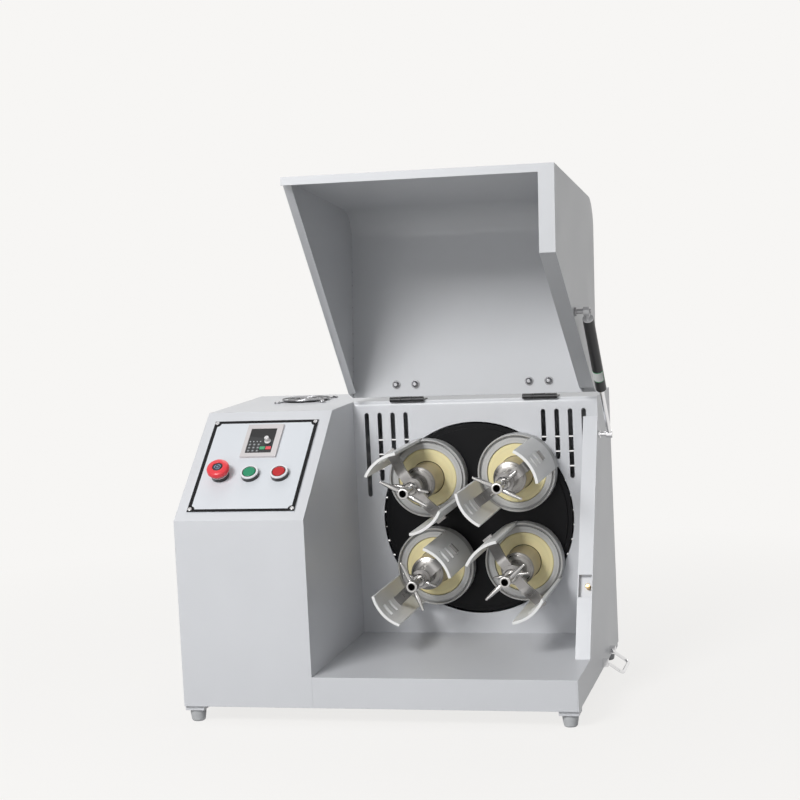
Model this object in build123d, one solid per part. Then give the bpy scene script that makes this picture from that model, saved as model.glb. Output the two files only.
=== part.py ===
from build123d import *
import os
from math import acos, atan2, cos, degrees, hypot, pi, radians, sin, sqrt, tan

os.makedirs("parts", exist_ok=True)

# A horizontal planetary ball mill with its lid open. Sizes are in millimetres. It is built with X
# from the left side of the cabinet, Y backwards from its front and Z upwards from the floor.

# Cabinet
WIDTH = 650.0
DEPTH = 490.0
BODY_HEIGHT = 460.0
FOOT_HEIGHT = 28.0
SHEET = 2.0
OUTER_BEND = 3.0
CONSOLE_WIDTH = 220.0
CONSOLE_FRONT_HEIGHT = 306.0
CONSOLE_TOP_START = 200.0
BELT_WINDOW_Y = 440.0
VENT_PANEL_Y = 333.0
DECK_BEND = 9.0
SILL_HEIGHT = 50.0
WALL_THICKNESS = 25.0
WALL_FOOT_Y = 138.0
WALL_HEAD_HEIGHT = 426.0

# Feet
FOOT_PLATE = 32.0
FOOT_PLATE_HEIGHT = 8.0
FOOT_RADIUS = 13.0
FOOT_TIP_RADIUS = 11.0
FOOT_CHAMFER = 2.0
FOOT_TAPER_HEIGHT = 14.0
FOOT_INSET_X = 17.0
FOOT_INSET_Y = 21.0

# Vent slots, counted outwards from the middle of the chamber
SLOT_WIDTH = 8.0
SLOT_PITCH = 23.3
SLOT_INNER_OFFSET = 121.2
SLOT_TOP_HEIGHT = 440.0
SLOT_BOTTOM_HEIGHTS = (384.0, 353.0, 320.0, 292.0)

# Louvres of the rear cover
LOUVRE_TOP_HEIGHT = 374.3
LOUVRE_PITCH = 26.7
LOUVRE_ROWS = 9
LOUVRE_GAP = 3.0
LOUVRE_HOOD = 7.0
LOUVRE_LENGTH = 250.0
LOUVRE_OFFSET = 165.0

# Lid
LID_SIDE_GAP = 1.5
LID_SILL_GAP = 1.0
LID_CORNER = 52.0
LID_REAR_Y = 326.0
LID_HEEL_Y = 320.0
LID_HEEL_HEIGHT = 432.0
LID_RIM = 13.0
LID_WALL_GAP = 3.0
LID_OPEN_ANGLE = 98.0

# Hinges
HINGE_Y = 331.0
HINGE_RISE = 2.3
HINGE_OFFSET = 117.0
HINGE_LENGTH = 60.0
HINGE_LEAF = 32.0
LEAF_THICKNESS = 1.8
KNUCKLE_RADIUS = 4.2
PIN_RADIUS = 2.0
KNUCKLE_GAP = 0.3
HINGE_SCREW_PITCH = 34.0
HINGE_SCREW_REACH = 26.0
NUT_WASHER_RADIUS = 7.5
NUT_RADIUS = 5.5
NUT_HEIGHT = 8.0
NUT_WASHER_THICKNESS = 1.5
NUT_DOME_RADIUS = 3.0
NUT_DOME_HEIGHT = 3.0

# Gas strut
STRUT_OFFSET = 19.0
STRUT_LOWER_Y = 333.0
STRUT_LOWER_HEIGHT = 395.0
STRUT_UPPER_Y = 209.0
STRUT_UPPER_HEIGHT = 230.0
STUD_RADIUS = 4.0
STUD_FLANGE_RADIUS = 7.0
STUD_FLANGE_THICKNESS = 3.0
STUD_END = 2.0
STRUT_SOCKET_RADIUS = 7.0
STRUT_SOCKET_THICKNESS = 10.0
CYLINDER_RADIUS = 9.0
CYLINDER_START = 16.5
CYLINDER_LENGTH = 172.0
CYLINDER_BORE = 7.2
CYLINDER_CAP = 4.0
STRUT_ROD_RADIUS = 4.0
PISTON_DEPTH = 165.0
PISTON_LENGTH = 10.0

# Running and fitting clearances
RUNNING_FIT = 0.08
SLIDING_FIT = 0.3
THRUST_GAP = 0.2

# Disc and drive
DISC_CENTRE_X = 435.0
DISC_CENTRE_HEIGHT = 253.0
DISC_RADIUS = 165.0
DISC_THICKNESS = 12.0
DISC_STEP_WIDTH = 8.0
DISC_STEP_DEPTH = 2.0
DISC_GAP = 3.0
DISC_HUB_RADIUS = 26.0
DISC_BOSS_RADIUS = 16.0
DISC_BOSS_DEPTH = 4.5
STATION_RADIUS = 110.0
GEAR_MODULE = 5.0
SUN_TEETH = 30
PLANET_TEETH = 14
GEAR_WIDTH = 16.0
GEAR_GAP = 0.5
GEAR_BACKLASH = 2.8
GEAR_ADDENDUM = 0.9
GEAR_DEDENDUM = 1.25
PRESSURE_ANGLE = 20.0
SPINDLE_RADIUS = 10.0
SHAFT_RADIUS = 15.0
QUILL_RADIUS = 30.0
HOUSING_RADIUS = 45.0
HOUSING_LENGTH = 70.0
HOUSING_GAP = 6.0
HOUSING_FLANGE_RADIUS = 62.0
PEDESTAL_WIDTH = 150.0
PEDESTAL_DEPTH = 60.0
PEDESTAL_PLATE = 10.0
PEDESTAL_TOE = 8.0
PEDESTAL_RIB_TOE = 4.0
BELT_Y = 460.0
BELT_WIDTH = 10.0
BELT_DEPTH = 8.0
BELT_FIT = 0.3
PULLEY_FLANGE = 3.5
DRIVEN_PULLEY_RADIUS = 90.0
PULLEY_HOLES = 6
PULLEY_HOLE_RADIUS = 18.0
PULLEY_HOLE_REACH = 56.5
MOTOR_PULLEY_RADIUS = 30.0
MOTOR_X = 110.0
MOTOR_HEIGHT = 85.0
MOTOR_RADIUS = 62.0
MOTOR_LENGTH = 160.0
MOTOR_FRONT_Y = 275.0
MOTOR_SHAFT_RADIUS = 9.5
MOTOR_SHAFT_DEPTH = 25.0
MOTOR_FLANGE_LENGTH = 25.0
MOTOR_FLANGE_STEP = 3.0
MOTOR_NOSE_LENGTH = 10.0
MOTOR_NOSE_STEP = 12.0
MOTOR_FINS = 12
MOTOR_FIN_THICKNESS = 3.0
MOTOR_FIN_HEIGHT = 5.0
MOTOR_FIN_INSET = 8.0
MOTOR_FOOT_OFFSET = 55.8
MOTOR_FOOT_WIDTH = 24.0
MOTOR_FOOT_HEIGHT = 8.0
MOTOR_FOOT_FRONT = 40.0
MOTOR_FOOT_BACK = 30.0
MOTOR_WEB_WIDTH = 10.0
MOTOR_WEB_INSET = 5.0
MOTOR_WEB_TOP = 34.0

# Jar stations, told as angles from +X towards +Z and heights in front of the disc's face
STATION_ANGLES = (138.1, 47.0, 227.5, 317.9)
STRAP_ANGLES = (-54.0, 35.0, 41.5, -52.5)
LEVER_ANGLES = (-28.0, -24.5, -66.5, 41.5)
LOCK_ANGLES = (-12.0, 42.0, -21.5, 8.0)
CUP_RADIUS = 67.5
CUP_HEIGHT = 25.0
CUP_FLOOR = 6.0
CUP_BACK = 1.5
CUP_GROOVE_RADIUS = 64.5
CUP_GROOVE_INNER = 61.0
CUP_RING_HEIGHT = 22.0
CUP_BORE = 51.5
CUP_GROOVE_FLOOR = 17.0
CUP_CHAMFER = 1.0
EAR_RADIUS = 69.8
EAR_WALL = 4.6
EAR_SPAN = 57.0
EAR_START = 10.0
EAR_HEIGHT = 210.0
EAR_SLOT_HEIGHTS = (110.0, 145.5, 181.0)
EAR_SLOT_WIDTH = 21.0
EAR_SLOT_DEPTH = 11.0
JAR_FIT = 0.3
JAR_FLANGE_HEIGHT = 20.0
JAR_NECK_RADIUS = 28.7
JAR_NECK_HEIGHT = 74.0
JAR_HEIGHT = 84.5
JAR_WALL = 5.7
JAR_FLOOR = 6.0
JAR_CHAMFER = 1.5
JAR_SPIGOT_FIT = 0.1
JAR_SPIGOT_DEPTH = 5.0
STRAP_WIDTH = 17.5
STRAP_THICKNESS = 6.5
STRAP_REACH = 74.0
STRAP_END = 10.0
STRAP_CROWN = 35.0
STRAP_BEND = 24.0
STRAP_MARK = 8.0
STRAP_MARK_DEPTH = 0.8
STRAP_TOP = 133.0
STRAP_BOSS_RADIUS = 16.0
STRAP_BOSS_TOP = 139.0
STRAP_BOSS_BOTTOM = 122.0
PRESSURE_RADIUS = 28.0
PRESSURE_HUB_RADIUS = 15.5
PRESSURE_TOP = 108.0
PRESSURE_EDGE = 4.0
PRESSURE_CONE = 4.0
PRESSURE_NECK = 9.0
PRESSURE_GROOVE = 2.0
PRESSURE_GROOVE_DEPTH = 3.0
PRESSURE_LAND = 3.0
SCREW_RADIUS = 6.0
SCREW_START = 89.3
LEVER_HUB_RADIUS = 8.5
LEVER_HUB_BOTTOM = 190.0
LEVER_TOP = 207.0
LEVER_RECESS_RADIUS = 5.5
LEVER_RECESS_DEPTH = 14.0
LEVER_REACH = 45.0
LEVER_LEAN = 8.0
LEVER_ARM_RADIUS = 4.0
LEVER_TIP_RADIUS = 2.1
LOCK_HUB_RADIUS = 11.5
LOCK_TOP = 154.0
LOCK_REACH = 31.0
LOCK_ARM_RADIUS = 3.6
LOCK_TIP_RADIUS = 2.0
ARM_NECK = 0.75
ARM_SINK = 1.5

# Operating panel, with heights measured up the slope from the lower bend
PLATE_LEFT = 18.5
PLATE_RIGHT = 202.0
PLATE_LOW = 17.5
PLATE_HIGH = 229.5
PLATE_THICKNESS = 1.5
PLATE_SCREW_INSET_X = 5.0
PLATE_SCREW_INSET_Y = 6.0
KEYPAD_X = 113.5
KEYPAD_S = 177.8
KEYPAD_WIDTH = 62.0
KEYPAD_LENGTH = 76.0
KEYPAD_RISE = 4.0
KEYPAD_BODY_DEPTH = 34.0
KEYPAD_LIP = 4.3
FACE_X = 112.2
FACE_S = 177.1
FACE_WIDTH = 45.0
FACE_LENGTH = 57.5
FACE_RECESS = 1.0
KEY_S = 159.8
GREEN_KEY_X = 117.8
RED_KEY_X = 128.0
KEY_WIDTH = 9.2
KEY_LENGTH = 6.6
KEY_PROUD = 1.0
KEY_TRAVEL = 1.0
KNOB_X = 124.0
KNOB_S = 175.3
KNOB_RADIUS = 5.6
KNOB_SKIRT = 2.5
KNOB_GRIP_RADIUS = 4.0
KNOB_HEIGHT = 10.5
KNOB_ROUND = 1.2
KNOB_STEM_RADIUS = 2.5
KNOB_STEM_DEPTH = 10.0
KNOB_MARK_WIDTH = 1.0
KNOB_MARK_LENGTH = 3.0
KNOB_MARK_DEPTH = 0.6
BUTTON_S = 99.0
ESTOP_X = 58.3
START_X = 109.8
STOP_X = 160.5
BEZEL_RADIUS = 15.0
BEZEL_RISE = 9.5
BARREL_RADIUS = 11.0
BARREL_DEPTH = 30.0
BARREL_NUT_RADIUS = 14.0
BARREL_NUT = 4.0
STEM_RADIUS = 7.9
CAP_RADIUS = 10.6
CAP_PROUD = 0.8
CAP_ROUND = 1.0
BEZEL_FLOOR = 1.0
CAP_THICKNESS = 4.0
ESTOP_COLLAR_RISE = 8.0
ESTOP_RADIUS = 19.0
ESTOP_PROUD = 22.5
ESTOP_TRAVEL = 4.0
ESTOP_STOP_GAP = 0.5
ESTOP_ROUND = 3.5
ESTOP_DISH_RADIUS = 9.0
ESTOP_DISH_DEPTH = 1.0

# Fan on the console's top
FAN_X = 120.0
FAN_Y = 385.0
FAN_SIZE = 92.0
FAN_DEPTH = 25.0
FAN_SCREW_PITCH = 82.5
FAN_DUCT_RADIUS = 43.0
FAN_HUB_RADIUS = 17.0
FAN_BLADES = 7
FAN_BLADE_RADIUS = 41.5
GUARD_WIRE = 2.4
GUARD_RADII = (44.0, 33.0, 22.0, 11.0)
FAN_ARM_WIDTH = 4.0
FAN_ARM_HEIGHT = 3.0
FAN_PIN_RADIUS = 3.0
FAN_BLADE_LEAN = 35.0
FAN_BLADE_WIDTH = 22.0
FAN_BLADE_THICKNESS = 1.6

# Side bails
BAIL_FRONT_Y = 277.0
BAIL_REAR_Y = 373.5
BAIL_HEIGHT = 12.0
BAIL_BRACKET_WIDTH = 10.0
BAIL_BRACKET_HEIGHT = 13.0
BAIL_BRACKET_REACH = 10.0
BAIL_WIRE_RADIUS = 3.0
BAIL_REACH = 34.0
BAIL_REST_ANGLE = 35.0
BAIL_BEND = 9.0
BAIL_INNER_BEND = 3.15

# Lid switch in the right wall
NOTCH_LOW = 143.0
NOTCH_HIGH = 177.0
NOTCH_DEPTH = 10.0
NOTCH_LINER = 1.5
PLUNGER_RADIUS = 4.0
PLUNGER_PROUD = 2.2
PLUNGER_X_INSET = 8.0
PLUNGER_TAIL = 20.0
PLUNGER_CHAMFER = 1.0
BARREL_WALL = 1.5
BARREL_TAIL = 6.0
BARREL_FLOOR = 2.0

# Power inlet
INLET_X = 110.0
INLET_HEIGHT = 62.0
INLET_WIDTH = 48.0
INLET_TALL = 28.0
INLET_DEPTH = 18.0
INLET_FLANGE = 3.0
INLET_SOCKET_WIDTH = 28.0
INLET_SOCKET_TALL = 17.0
INLET_FLOOR = 3.0
INLET_PIN_PITCH = 7.0
INLET_PIN_WIDTH = 2.0
INLET_PIN_TALL = 4.0

SCREW_HEAD_RADIUS = 3.6
SCREW_HEAD_HEIGHT = 2.2
SCREW_HEAD_CHAMFER = 0.8
SCREW_RECESS_LENGTH = 4.4
SCREW_RECESS_WIDTH = 0.9
SCREW_RECESS_DEPTH = 1.2
REAR_SCREW_INSET = 14.0

# Places worked out from the sizes above
BASE_Z = FOOT_HEIGHT
FLOOR_Z = BASE_Z + SILL_HEIGHT
TOP_Z = BASE_Z + BODY_HEIGHT
BEND_Z = BASE_Z + CONSOLE_FRONT_HEIGHT
DISC_Z = BASE_Z + DISC_CENTRE_HEIGHT
WALL_HEAD_Z = BASE_Z + WALL_HEAD_HEIGHT
WALL_INNER_X = WIDTH - WALL_THICKNESS
LID_LEFT_X = CONSOLE_WIDTH + LID_SIDE_GAP
LID_LOW_Z = FLOOR_Z + LID_SILL_GAP
LID_HEEL_Z = BASE_Z + LID_HEEL_HEIGHT
HINGE_Z = TOP_Z + HINGE_RISE
SLOPE_ANGLE = degrees(atan2(TOP_Z - BEND_Z, CONSOLE_TOP_START))
PANEL = Plane(
    origin=(0, 0, BEND_Z),
    x_dir=(1, 0, 0),
    z_dir=(0, -sin(radians(SLOPE_ANGLE)), cos(radians(SLOPE_ANGLE))),
).location
DISC_BACK_Y = VENT_PANEL_Y + DISC_THICKNESS
BOSS_BACK_Y = DISC_BACK_Y + DISC_BOSS_DEPTH
GEAR_FRONT_Y = BOSS_BACK_Y + GEAR_GAP
GEAR_BACK_Y = GEAR_FRONT_Y + GEAR_WIDTH
HOUSING_FRONT_Y = GEAR_BACK_Y + HOUSING_GAP
HOUSING_BACK_Y = HOUSING_FRONT_Y + HOUSING_LENGTH
MOTOR_Z = BASE_Z + MOTOR_HEIGHT
MOTOR_BACK_Y = MOTOR_FRONT_Y + MOTOR_LENGTH
STRUT_X = WIDTH + STRUT_OFFSET


def block(x0, x1, y0, y1, z0, z1):
    centre = Pos((x0 + x1) / 2, (y0 + y1) / 2, (z0 + z1) / 2)
    return centre * Box(x1 - x0, y1 - y0, z1 - z0)


def rod_y(x, z, y0, y1, radius):
    return Pos(x, (y0 + y1) / 2, z) * Rot(90, 0, 0) * Cylinder(radius, y1 - y0)


def rod_x(y, z, x0, x1, radius):
    return Pos((x0 + x1) / 2, y, z) * Rot(0, 90, 0) * Cylinder(radius, x1 - x0)


def rod_z(x, y, z0, z1, radius):
    return Pos(x, y, (z0 + z1) / 2) * Cylinder(radius, z1 - z0)


def slab_x(points, x0, x1):
    """A flat outline of (y, z) points, as thick as x0 to x1."""
    outline = make_face(Plane.YZ.offset(x0) * Polyline(*points, close=True))
    return extrude(outline, x1 - x0, dir=(1, 0, 0))


def slab_y(points, y0, y1):
    """A flat outline of (x, z) points, as thick as y0 to y1."""
    outline = make_face(Plane.XZ.offset(-y1) * Polyline(*points, close=True))
    return extrude(outline, y1 - y0, dir=(0, -1, 0))


def turned(points):
    """A body turned about Y from (radius, height in front) points."""
    outline = make_face(Polyline(*[(radius, -height) for radius, height in points], close=True))
    return revolve(outline, Axis.Y)


def turned_up(points):
    """A body turned about Z from (radius, height) points."""
    outline = make_face(Plane.XZ * Polyline(*points, close=True))
    return revolve(outline, Axis.Z)


def ring(outer, inner, z0, z1):
    return rod_z(0, 0, z0, z1, outer) - rod_z(0, 0, z0 - 1, z1 + 1, inner)


def group(*shapes):
    """Separate solids that share one node."""
    solids = []
    for shape in shapes:
        solids += list(shape.solids())
    return Compound(children=solids)


def slope_height(y, inset):
    """Height of the console's slope at y, moved in by inset."""
    return BEND_Z + y * tan(radians(SLOPE_ANGLE)) - inset / cos(radians(SLOPE_ANGLE))


def console_outline(inset, back_y):
    top = TOP_Z - inset
    knee_y = (top - slope_height(0, inset)) / tan(radians(SLOPE_ANGLE))
    return [
        (inset, BASE_Z),
        (inset, slope_height(inset, inset)),
        (knee_y, top),
        (back_y, top),
        (back_y, BASE_Z),
    ]


def panel_holes():
    """What is cut through the slope for the keypad and the three buttons."""
    reach = 3 * SHEET + PLATE_THICKNESS
    body = Box(KEYPAD_WIDTH - 2 * KEYPAD_LIP, KEYPAD_LENGTH - 2 * KEYPAD_LIP, 2 * reach)
    holes = Pos(KEYPAD_X, KEYPAD_S, 0) * body
    for x in (ESTOP_X, START_X, STOP_X):
        holes += Pos(x, BUTTON_S, 0) * Cylinder(BARREL_RADIUS + SLIDING_FIT, 2 * reach)
    return PANEL * holes


def console_shell():
    outer = slab_x(console_outline(0, DEPTH), 0, CONSOLE_WIDTH)
    left_edges = outer.edges().filter_by(lambda edge: edge.center().X < SHEET / 2)
    left_edges = left_edges.filter_by(lambda edge: edge.center().Z > BASE_Z + 1)
    left_edges = left_edges.filter_by(lambda edge: edge.center().Y < DEPTH - 1)
    outer = fillet(left_edges, OUTER_BEND)
    shell = outer - slab_x(console_outline(SHEET, DEPTH + 1), SHEET, CONSOLE_WIDTH - SHEET)
    open_side = block(
        CONSOLE_WIDTH - 2 * SHEET,
        CONSOLE_WIDTH + 1,
        BELT_WINDOW_Y,
        DEPTH + 1,
        BASE_Z - 1,
        TOP_Z - SHEET,
    )
    ledge = block(SHEET, CONSOLE_WIDTH + 1, SHEET, DEPTH + 1, BASE_Z - 1, BASE_Z + SHEET)
    fan_hole = rod_z(FAN_X, FAN_Y, TOP_Z - 2 * SHEET, TOP_Z + 1, FAN_DUCT_RADIUS)
    return shell - open_side - ledge - fan_hole - panel_holes()


def foot_centres():
    front = FOOT_INSET_Y
    back = DEPTH - FOOT_INSET_Y
    return [(x, y) for x in (FOOT_INSET_X, WIDTH - FOOT_INSET_X) for y in (front, back)]


def base_tray():
    tray = block(SHEET, WIDTH - SHEET, SHEET, DEPTH - SHEET, BASE_Z, BASE_Z + SHEET)
    tray += block(CONSOLE_WIDTH, WIDTH - SHEET, 0, SHEET, BASE_Z, FLOOR_Z)
    tray += block(CONSOLE_WIDTH, WIDTH - SHEET, 0, VENT_PANEL_Y, FLOOR_Z - SHEET, FLOOR_Z)
    half = FOOT_PLATE / 2
    for x, y in foot_centres():
        tray += block(x - half, x + half, y - half, y + half, BASE_Z - FOOT_PLATE_HEIGHT, BASE_Z)
    return tray


def rubber_feet():
    top = BASE_Z - FOOT_PLATE_HEIGHT
    foot = turned_up([
        (0, 0), (FOOT_TIP_RADIUS - FOOT_CHAMFER, 0), (FOOT_TIP_RADIUS, FOOT_CHAMFER),
        (FOOT_RADIUS, FOOT_TAPER_HEIGHT), (FOOT_RADIUS, top), (0, top),
    ])
    return group(*[Pos(x, y, 0) * foot for x, y in foot_centres()])


def wall_plane():
    """The slanted front face of the right wall: X across, Y up the slant, Z out of it."""
    rise = WALL_HEAD_Z - FLOOR_Z
    run = VENT_PANEL_Y - WALL_FOOT_Y
    length = hypot(rise, run)
    return Plane(
        origin=(WIDTH, WALL_FOOT_Y, FLOOR_Z),
        x_dir=(-1, 0, 0),
        z_dir=(0, -rise / length, run / length),
    )


def notch_range():
    """Lower end and upper end of the notch, measured up the slanted face."""
    rise = WALL_HEAD_Z - FLOOR_Z
    scale = hypot(rise, VENT_PANEL_Y - WALL_FOOT_Y) / rise
    return (NOTCH_LOW - SILL_HEIGHT) * scale, (NOTCH_HIGH - SILL_HEIGHT) * scale


def on_slant(x0, x1, s0, s1, h0, h1):
    """A block on the slanted face: x inwards from the outer side, s up the slant, h out of it.

    The plane's own Y points down the slant, because its X runs to the left.
    """
    body = Pos((x0 + x1) / 2, -(s0 + s1) / 2, (h0 + h1) / 2) * Box(x1 - x0, s1 - s0, h1 - h0)
    return wall_plane().location * body


def right_wall():
    bend_in = (DECK_BEND - SHEET) / sqrt(2)
    back = VENT_PANEL_Y + SHEET
    behind_panel = [
        (back, BASE_Z),
        (back, TOP_Z - DECK_BEND),
        (VENT_PANEL_Y + DECK_BEND - bend_in, TOP_Z - DECK_BEND + bend_in),
        (VENT_PANEL_Y + DECK_BEND, TOP_Z - SHEET),
        (DEPTH, TOP_Z - SHEET),
        (DEPTH, BASE_Z),
    ]
    before_panel = [
        (0, BASE_Z),
        (0, FLOOR_Z),
        (WALL_FOOT_Y, FLOOR_Z),
        (VENT_PANEL_Y, WALL_HEAD_Z),
        (back, WALL_HEAD_Z),
        (back, BASE_Z),
    ]
    wall = slab_x(behind_panel, WIDTH - SHEET, WIDTH) + slab_x(before_panel, WIDTH - SHEET, WIDTH)
    triangle = [(WALL_FOOT_Y, FLOOR_Z), (VENT_PANEL_Y, WALL_HEAD_Z), (VENT_PANEL_Y, FLOOR_Z)]
    slope = (VENT_PANEL_Y - WALL_FOOT_Y) / (WALL_HEAD_Z - FLOOR_Z)
    inset = SHEET * sqrt(1 + slope * slope)
    hollow = [
        (WALL_FOOT_Y + inset - slope, FLOOR_Z - 1),
        (VENT_PANEL_Y + 1, WALL_HEAD_Z + (1 - inset) / slope),
        (VENT_PANEL_Y + 1, FLOOR_Z - 1),
    ]
    double = slab_x(triangle, WALL_INNER_X, WIDTH)
    double -= slab_x(hollow, WALL_INNER_X + SHEET, WIDTH - SHEET)
    low, high = notch_range()
    liner = on_slant(
        SHEET,
        WALL_THICKNESS - SHEET,
        low - NOTCH_LINER,
        high + NOTCH_LINER,
        -NOTCH_DEPTH - NOTCH_LINER,
        -SHEET,
    )
    pocket = on_slant(SHEET, WALL_THICKNESS - SHEET, low, high, -NOTCH_DEPTH, 1)
    centre = (low + high) / 2
    bore = Cylinder(PLUNGER_RADIUS + RUNNING_FIT, 3 * NOTCH_LINER)
    bore = Pos(PLUNGER_X_INSET, -centre, -NOTCH_DEPTH - NOTCH_LINER) * bore
    wall += double + liner - pocket - wall_plane().location * bore
    return wall & block(0, WIDTH, 0, DEPTH, BASE_Z, TOP_Z)


def plunger_place():
    low, high = notch_range()
    return wall_plane().location * Pos(PLUNGER_X_INSET, -(low + high) / 2, 0)


def interlock_plunger():
    low = -NOTCH_DEPTH - PLUNGER_TAIL
    body = turned_up([
        (0, low),
        (PLUNGER_RADIUS, low),
        (PLUNGER_RADIUS, PLUNGER_PROUD - PLUNGER_CHAMFER),
        (PLUNGER_RADIUS - PLUNGER_CHAMFER, PLUNGER_PROUD),
        (0, PLUNGER_PROUD),
    ])
    return plunger_place() * body


def vent_slots():
    slots = []
    for index, low in enumerate(SLOT_BOTTOM_HEIGHTS):
        offset = SLOT_INNER_OFFSET + index * SLOT_PITCH
        for side in (-1, 1):
            slots.append((DISC_CENTRE_X + side * offset, low))
    return slots


def vent_panel():
    back = VENT_PANEL_Y + SHEET
    deck_low = TOP_Z - SHEET
    sheet = block(CONSOLE_WIDTH, WIDTH, VENT_PANEL_Y, back, BASE_Z + SHEET, TOP_Z - DECK_BEND)
    sheet += block(CONSOLE_WIDTH, WIDTH, VENT_PANEL_Y + DECK_BEND, DEPTH, deck_low, TOP_Z)
    bend_y = VENT_PANEL_Y + DECK_BEND
    bend_z = TOP_Z - DECK_BEND
    bend = rod_x(bend_y, bend_z, CONSOLE_WIDTH, WIDTH, DECK_BEND)
    bend -= rod_x(bend_y, bend_z, CONSOLE_WIDTH - 1, WIDTH + 1, DECK_BEND - SHEET)
    corner = block(CONSOLE_WIDTH, WIDTH, VENT_PANEL_Y, VENT_PANEL_Y + DECK_BEND, TOP_Z - DECK_BEND, TOP_Z)
    sheet += bend & corner
    sheet -= block(WIDTH - SHEET, WIDTH + 1, VENT_PANEL_Y - 1, back, BASE_Z, WALL_HEAD_Z)
    sheet -= rod_y(DISC_CENTRE_X, DISC_Z, VENT_PANEL_Y - 1, back + 1, DISC_RADIUS + DISC_GAP)
    radius = SLOT_WIDTH / 2
    for x, low in vent_slots():
        slot_low = BASE_Z + low + radius
        slot_high = BASE_Z + SLOT_TOP_HEIGHT - radius
        sheet -= block(x - radius, x + radius, VENT_PANEL_Y - 1, back + 1, slot_low, slot_high)
        sheet -= rod_y(x, slot_low, VENT_PANEL_Y - 1, back + 1, radius)
        sheet -= rod_y(x, slot_high, VENT_PANEL_Y - 1, back + 1, radius)
    return sheet


def rear_cover():
    inner = DEPTH - SHEET
    cover = block(SHEET, WIDTH - SHEET, inner, DEPTH, BASE_Z, TOP_Z - SHEET)
    out = DEPTH + LOUVRE_HOOD
    for row in range(LOUVRE_ROWS):
        z = BASE_Z + LOUVRE_TOP_HEIGHT - row * LOUVRE_PITCH
        low = z - LOUVRE_GAP / 2
        high = z + LOUVRE_GAP / 2
        for middle in (WIDTH / 2 - LOUVRE_OFFSET, WIDTH / 2 + LOUVRE_OFFSET):
            x0 = middle - LOUVRE_LENGTH / 2
            x1 = middle + LOUVRE_LENGTH / 2
            cover -= block(x0, x1, inner - 1, DEPTH + 1, low, high)
            shape = [(DEPTH, high + LOUVRE_HOOD), (out, high), (out, z), (DEPTH, z)]
            inside = [
                (DEPTH - 1, high + LOUVRE_HOOD - SHEET),
                (DEPTH, high + LOUVRE_HOOD - SHEET),
                (out - SHEET, high - SHEET / 3),
                (out - SHEET, z - 1),
                (DEPTH - 1, z - 1),
            ]
            cover += slab_x(shape, x0 - SHEET, x1 + SHEET) - slab_x(inside, x0, x1)
    body_width = INLET_WIDTH - 2 * INLET_FLANGE
    body_tall = INLET_TALL - 2 * INLET_FLANGE
    return cover - inlet_block(0, body_width, body_tall, inner - 1, DEPTH + 1)


def inlet_block(offset, width, tall, y0, y1):
    """A block of the power inlet, offset sideways from its middle."""
    x = INLET_X + offset
    z = BASE_Z + INLET_HEIGHT
    return block(x - width / 2, x + width / 2, y0, y1, z - tall / 2, z + tall / 2)


def power_inlet():
    back = DEPTH - INLET_DEPTH
    floor = back + INLET_FLOOR
    inlet = inlet_block(0, INLET_WIDTH, INLET_TALL, DEPTH, DEPTH + INLET_FLANGE)
    inlet += inlet_block(0, INLET_WIDTH - 2 * INLET_FLANGE, INLET_TALL - 2 * INLET_FLANGE, back, DEPTH)
    inlet -= inlet_block(0, INLET_SOCKET_WIDTH, INLET_SOCKET_TALL, floor, DEPTH + INLET_FLANGE + 1)
    for offset in (-INLET_PIN_PITCH, 0, INLET_PIN_PITCH):
        inlet += inlet_block(offset, INLET_PIN_WIDTH, INLET_PIN_TALL, floor - 1, DEPTH)
    return inlet


def lid_point(y, z):
    """Where a point of the closed lid lies once the lid is open."""
    turn = radians(-LID_OPEN_ANGLE)
    dy = y - HINGE_Y
    dz = z - HINGE_Z
    return HINGE_Y + dy * cos(turn) - dz * sin(turn), HINGE_Z + dy * sin(turn) + dz * cos(turn)


def opened(shape):
    """The lid and what is fixed to it are drawn closed, then swung open."""
    hinge = Pos(0, HINGE_Y, HINGE_Z)
    return hinge * Rot(-LID_OPEN_ANGLE, 0, 0) * Pos(0, -HINGE_Y, -HINGE_Z) * shape


def lid_side(low_corner_y, x0, x1):
    """A side plate of the lid, from the front over the round corner to the heel."""
    low = LID_LOW_Z
    knee = LID_CORNER
    lines = [
        Line((0, low), (0, TOP_Z - knee)),
        RadiusArc((0, TOP_Z - knee), (knee, TOP_Z), knee),
        Line((knee, TOP_Z), (LID_REAR_Y, TOP_Z)),
        Line((LID_REAR_Y, TOP_Z), (LID_REAR_Y, low)),
        Line((LID_REAR_Y, low), (0, low)),
    ]
    plate = extrude(make_face(Plane.YZ.offset(x0) * Wire(lines)), x1 - x0, dir=(1, 0, 0))
    beyond = [
        (low_corner_y, low),
        (LID_HEEL_Y, LID_HEEL_Z),
        (LID_REAR_Y, TOP_Z),
        (LID_REAR_Y + 1, TOP_Z),
        (LID_REAR_Y + 1, low - 1),
        (low_corner_y, low - 1),
    ]
    return plate - slab_x(beyond, x0 - 1, x1 + 1)


def lid_skin():
    low = LID_LOW_Z
    top = TOP_Z
    knee = LID_CORNER
    radius = LID_CORNER - SHEET
    lines = [
        Line((0, low), (0, top - knee)),
        RadiusArc((0, top - knee), (knee, top), knee),
        Line((knee, top), (LID_REAR_Y, top)),
        Line((LID_REAR_Y, top), (LID_REAR_Y, top - SHEET)),
        Line((LID_REAR_Y, top - SHEET), (knee, top - SHEET)),
        RadiusArc((knee, top - SHEET), (SHEET, top - knee), -radius),
        Line((SHEET, top - knee), (SHEET, low)),
        Line((SHEET, low), (0, low)),
    ]
    outline = make_face(Plane.YZ.offset(LID_LEFT_X) * Wire(lines))
    return extrude(outline, WIDTH - LID_LEFT_X, dir=(1, 0, 0))


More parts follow.
